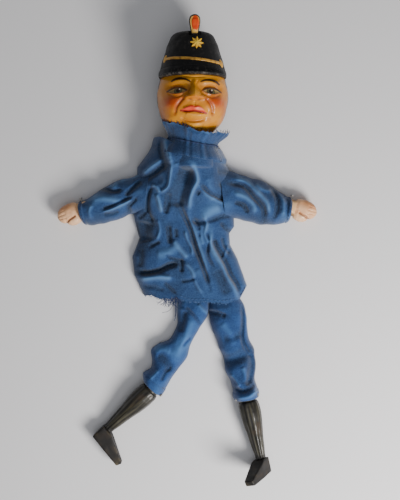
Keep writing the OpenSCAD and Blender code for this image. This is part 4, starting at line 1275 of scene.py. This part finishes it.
def hand(name, seed):
    shoulder, d = SHOULDERS[name][0], arm_direction(name)
    # Towards the thumb, which is on the lower side of both hands
    n = np.array([-d[1], d[0]]) * (1 if name == "left" else -1)
    s = np.linspace(54.2, 74.0, dense(90))
    low = np.interp(s, [54, 57, 62, 67, 70, 72, 73.3, 74],
                    [-8.4, -9.4, -9.6, -8.6, -7.2, -5.2, -3.0, -0.9])
    high = np.interp(s, [54, 57, 60, 63.5, 66, 67.4, 68.4, 70, 72, 73.3, 74],
                     [8.6, 10.0, 10.7, 10.2, 8.6, 6.2, 6.4, 6.0, 4.4, 2.4, -0.2])
    tall = np.interp(s, [54, 57, 64, 69, 72, 73.3, 74], [6.2, 6.9, 6.6, 5.6, 4.2, 2.6, 0.4])
    # The finger hole, the stub in the sleeve, and then the hand itself
    stub = [(at_s, -r, r, r) for at_s, r in ((62, 0.2), (62, 5.6), (38, 5.6), (38, 7.2), (53.8, 7.2))]
    along, across, up = ellipse_rings(stub + list(zip(s, low, high, tall)), dense(150))
    front = (along > 54.1) & (up > 0)
    carve = np.zeros_like(up)
    carve -= 1.5 * smooth(1.5, 0.2, line_distance(along, across, [(67.6, 6.6), (63.5, 4.6), (58.5, 3.2)])[0])
    for c0, c1 in ((-4.6, -3.6), (-1.2, -0.9), (2.2, 1.6)):
        carve -= 0.45 * smooth(0.8, 0.1, line_distance(along, across, [(66, c0), (73, c1)])[0])
    carve += 0.8 * bell(along, across, 60, 7.4, 4.5, 2.4) + 0.5 * bell(along, across, 61, -3, 5, 4)
    carve += 0.22 * value_noise(along, across, 3.2, seed)
    up = np.where(along > 54.1, up + np.where(up > 0, carve, -0.2) * smooth(0.2, 2.5, np.abs(up)), up)
    x = shoulder[0] + along * d[0] + across * n[0]
    y = shoulder[1] + along * d[1] + across * n[1]
    grid = np.stack([x, y, ARM_Z + up], axis=2)
    flesh = Coat((234, 186, 142), x.shape)
    # Painted shade along the upper side of the hand, away from the thumb
    flesh.add((196, 130, 82), 0.7 * front * smooth(-1.5, -7, across) * smooth(56, 62, along))
    flesh.add((206, 142, 96), 0.5 * smooth(0.1, 0.8, value_noise(along, across, 4, seed + 1)))
    # Painted highlight on the raised thumb
    flesh.add((248, 214, 178), 0.5 * bell(along, across, 60, 7.6, 4.5, 2.6))
    # Painted shade in the carved grooves of the fingers and thumb
    flesh.add((136, 82, 48), np.clip(-carve - 0.3, 0, 1) * 0.8 * front)
    flesh.add((206, 168, 122), smooth(54.4, 53.6, along))
    piece = Piece(f"hand_carving_{name}")
    flip = np.cross([*d, 0], [*n, 0])[2] > 0
    piece.add(grid, grid_faces(*grid.shape[:2], True, flip=flip), hand_paint, None, 0.5, flesh.colour)
    ob = piece.make()
    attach(ob, f"forearm_{name}")
    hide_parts(f"hand_{name}")


hand("left", 501)
hand("right", 511)

# ---------------------------------------------------------------- boots

ANKLE = 53.5  # from the boot's top to the shoe
LEG = [(-9, 7.2), (1.2, 7.25), (1.5, 8.2), (3.2, 8.75), (6, 9.15), (11, 9.3), (16, 9.0), (22, 8.3),
       (30, 7.0), (38, 6.0), (45, 5.2), (50, 4.5), (ANKLE, 4.45)]
SHOE_SIDE = [(0, -4.6), (13.4, -4.4), (16, 29.2), (11.2, 31), (0.3, 5.8)]


# Rows across the shoe's width: how far across, how much of the outline, and how much the paint is rubbed
SHOE_HALF = [(1, 0.02, 0.1), (1, 0.3, 0.1), (1, 0.6, 0.2), (1, 0.85, 0.7), (0.985, 0.93, 1),
             (0.93, 0.975, 1), (0.84, 1, 0.8), (0.6, 1, 0.2), (0.3, 1, 0.1)]
SHOE_ROWS = [(-q, k, e) for q, k, e in SHOE_HALF] + [(0, 1, 0.1)] + SHOE_HALF[::-1]


def boot_axes(turn, tilt, roll):
    """The boot's own axes in the frame, as columns: across, back up the leg, and forwards."""
    t, k, r = (math.radians(v) for v in (turn, tilt, roll))
    rz = np.array([[math.cos(t), -math.sin(t), 0], [math.sin(t), math.cos(t), 0], [0, 0, 1]])
    rx = np.array([[1, 0, 0], [0, math.cos(k), -math.sin(k)], [0, math.sin(k), math.cos(k)]])
    ry = np.array([[math.cos(r), 0, math.sin(r)], [0, 1, 0], [-math.sin(r), 0, math.cos(r)]])
    return rz @ rx @ ry


def boot(name, turn, tilt, roll, seed):
    place = np.array(BOOT_TOPS[name])
    frame_of = boot_axes(turn, tilt, 0)
    cols = dense(110)
    dist = np.concatenate([[-9, -9], np.linspace(-8.9, 1.2, 8), np.linspace(1.45, ANKLE, dense(150)),
                           [ANKLE]])
    rad = np.interp(dist, *np.array(LEG).T)
    rad[0] = rad[-1] = 0.2
    a = (np.arange(cols) * 2 * math.pi / cols)[None]
    rr = np.broadcast_to(rad[:, None], (len(dist), cols)).copy()
    dd = np.broadcast_to(dist[:, None], rr.shape)
    shown = smooth(1.5, 4, dd) * smooth(ANKLE, 52, dd)
    aa = a + 0 * dd
    facets = 0.22 * np.cos(9 * a + 0.4 * np.sin(dd * 0.12)) + 0.14 * value_noise(aa * 9, dd, 5.0, seed)
    rr += shown * facets
    local = np.stack([rr * np.cos(a), -dd, rr * np.sin(a)], axis=2)
    leg_grid = local @ frame_of.T + place
    grain = (value_noise(aa * 8, dd * 0.06, 0.9, seed + 1)
             + 0.5 * value_noise(aa * 8, dd * 0.08, 0.45, seed + 2))
    leg = Coat((30, 29, 27), dd.shape)
    # Olive grain from worn paint all round, brighter along one side as a painted highlight
    sheen = smooth(-0.2, 0.9, np.cos(aa - 1.2)) * smooth(0, 8, dd)
    leg.add((80, 76, 58), (0.22 + 0.36 * sheen) * smooth(-0.5, 1.0, grain))
    leg.add((62, 48, 34), 0.5 * smooth(0.3, 0.9, value_noise(aa * 8, dd, 6, seed + 3)))
    leg.add((20, 19, 18), smooth(46, 52, dd) * 0.8)
    piece = Piece(f"boot_carving_{name}")
    piece.add(leg_grid, grid_faces(*leg_grid.shape[:2], True, flip=True), boot_paint, None,
              (0.4 + 0.4 * shown).ravel(), leg.colour)
    ob = piece.make()
    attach(ob, f"shin_{name}")
    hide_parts(f"boot_leg_{name}")

    # The shoe: a carved block with eased edges
    frame_of = boot_axes(turn, tilt, roll)
    corners = np.array(SHOE_SIDE)
    pts = []
    for p, q in zip(corners, np.roll(corners, -1, axis=0)):
        for t in np.linspace(0, 1, max(4, int(np.linalg.norm(q - p) / 0.55)), endpoint=False):
            pts.append(p + (q - p) * t)
    side_line = np.array(pts)
    for _ in range(3):
        side_line = (np.roll(side_line, 1, 0) + side_line * 2 + np.roll(side_line, -1, 0)) / 4
    middle = np.array([9.0, 9.0])
    rows = []
    for q, k, _ in SHOE_ROWS:
        line = middle + (side_line - middle) * k
        width = np.interp(line[:, 1], [12, 32], [6, 4.25])
        rows.append(np.stack([q * width, -ANKLE - line[:, 0], line[:, 1]], axis=1))
    block = np.stack(rows)
    edge = np.array([e for _, _, e in SHOE_ROWS])[:, None]
    bump = 0.25 * value_noise(block[..., 0] + block[..., 2], block[..., 1], 3.4, seed + 5)
    block = block + (bump * (1 - 0.5 * edge))[..., None] * np.array([0.3, 0.5, 0.3])
    shoe_grid = block @ frame_of.T + place
    shoe_grid[..., 2] = np.maximum(shoe_grid[..., 2], 0.05)
    toe = smooth(24, 30, block[..., 2])
    coat = Coat((30, 28, 27), block.shape[:2])
    rub = smooth(-0.1, 0.7, value_noise(block[..., 1] + block[..., 0], block[..., 2], 3.5, seed + 6))
    coat.add((60, 50, 40), 0.45 * rub)
    coat.add((84, 76, 56), 0.4 * toe * rub + 0.35 * (edge > 0.9) * rub)
    shoe = Piece(f"shoe_carving_{name}")
    shoe.add(shoe_grid, grid_faces(*shoe_grid.shape[:2], True), shoe_paint, None,
             (0.5 + 0.7 * edge + 0 * toe).ravel(), coat.colour)
    ob = shoe.make()
    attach(ob, f"shin_{name}")
    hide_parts(f"shoe_{name}")


boot("left", -47.4, 3.4, 90, 601)
boot("right", 12.65, 0.4, -29.5, 631)

# ---------------------------------------------------------------- CAD pieces that stay as they are

for side in ("left", "right"):
    for node, material in (("hand_tacks", steel), ("boot_tacks", steel), ("ankle_dowel", bare_wood)):
        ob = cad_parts[f"{node}_{side}"]
        ob.data.materials.clear()
        ob.data.materials.append(material)
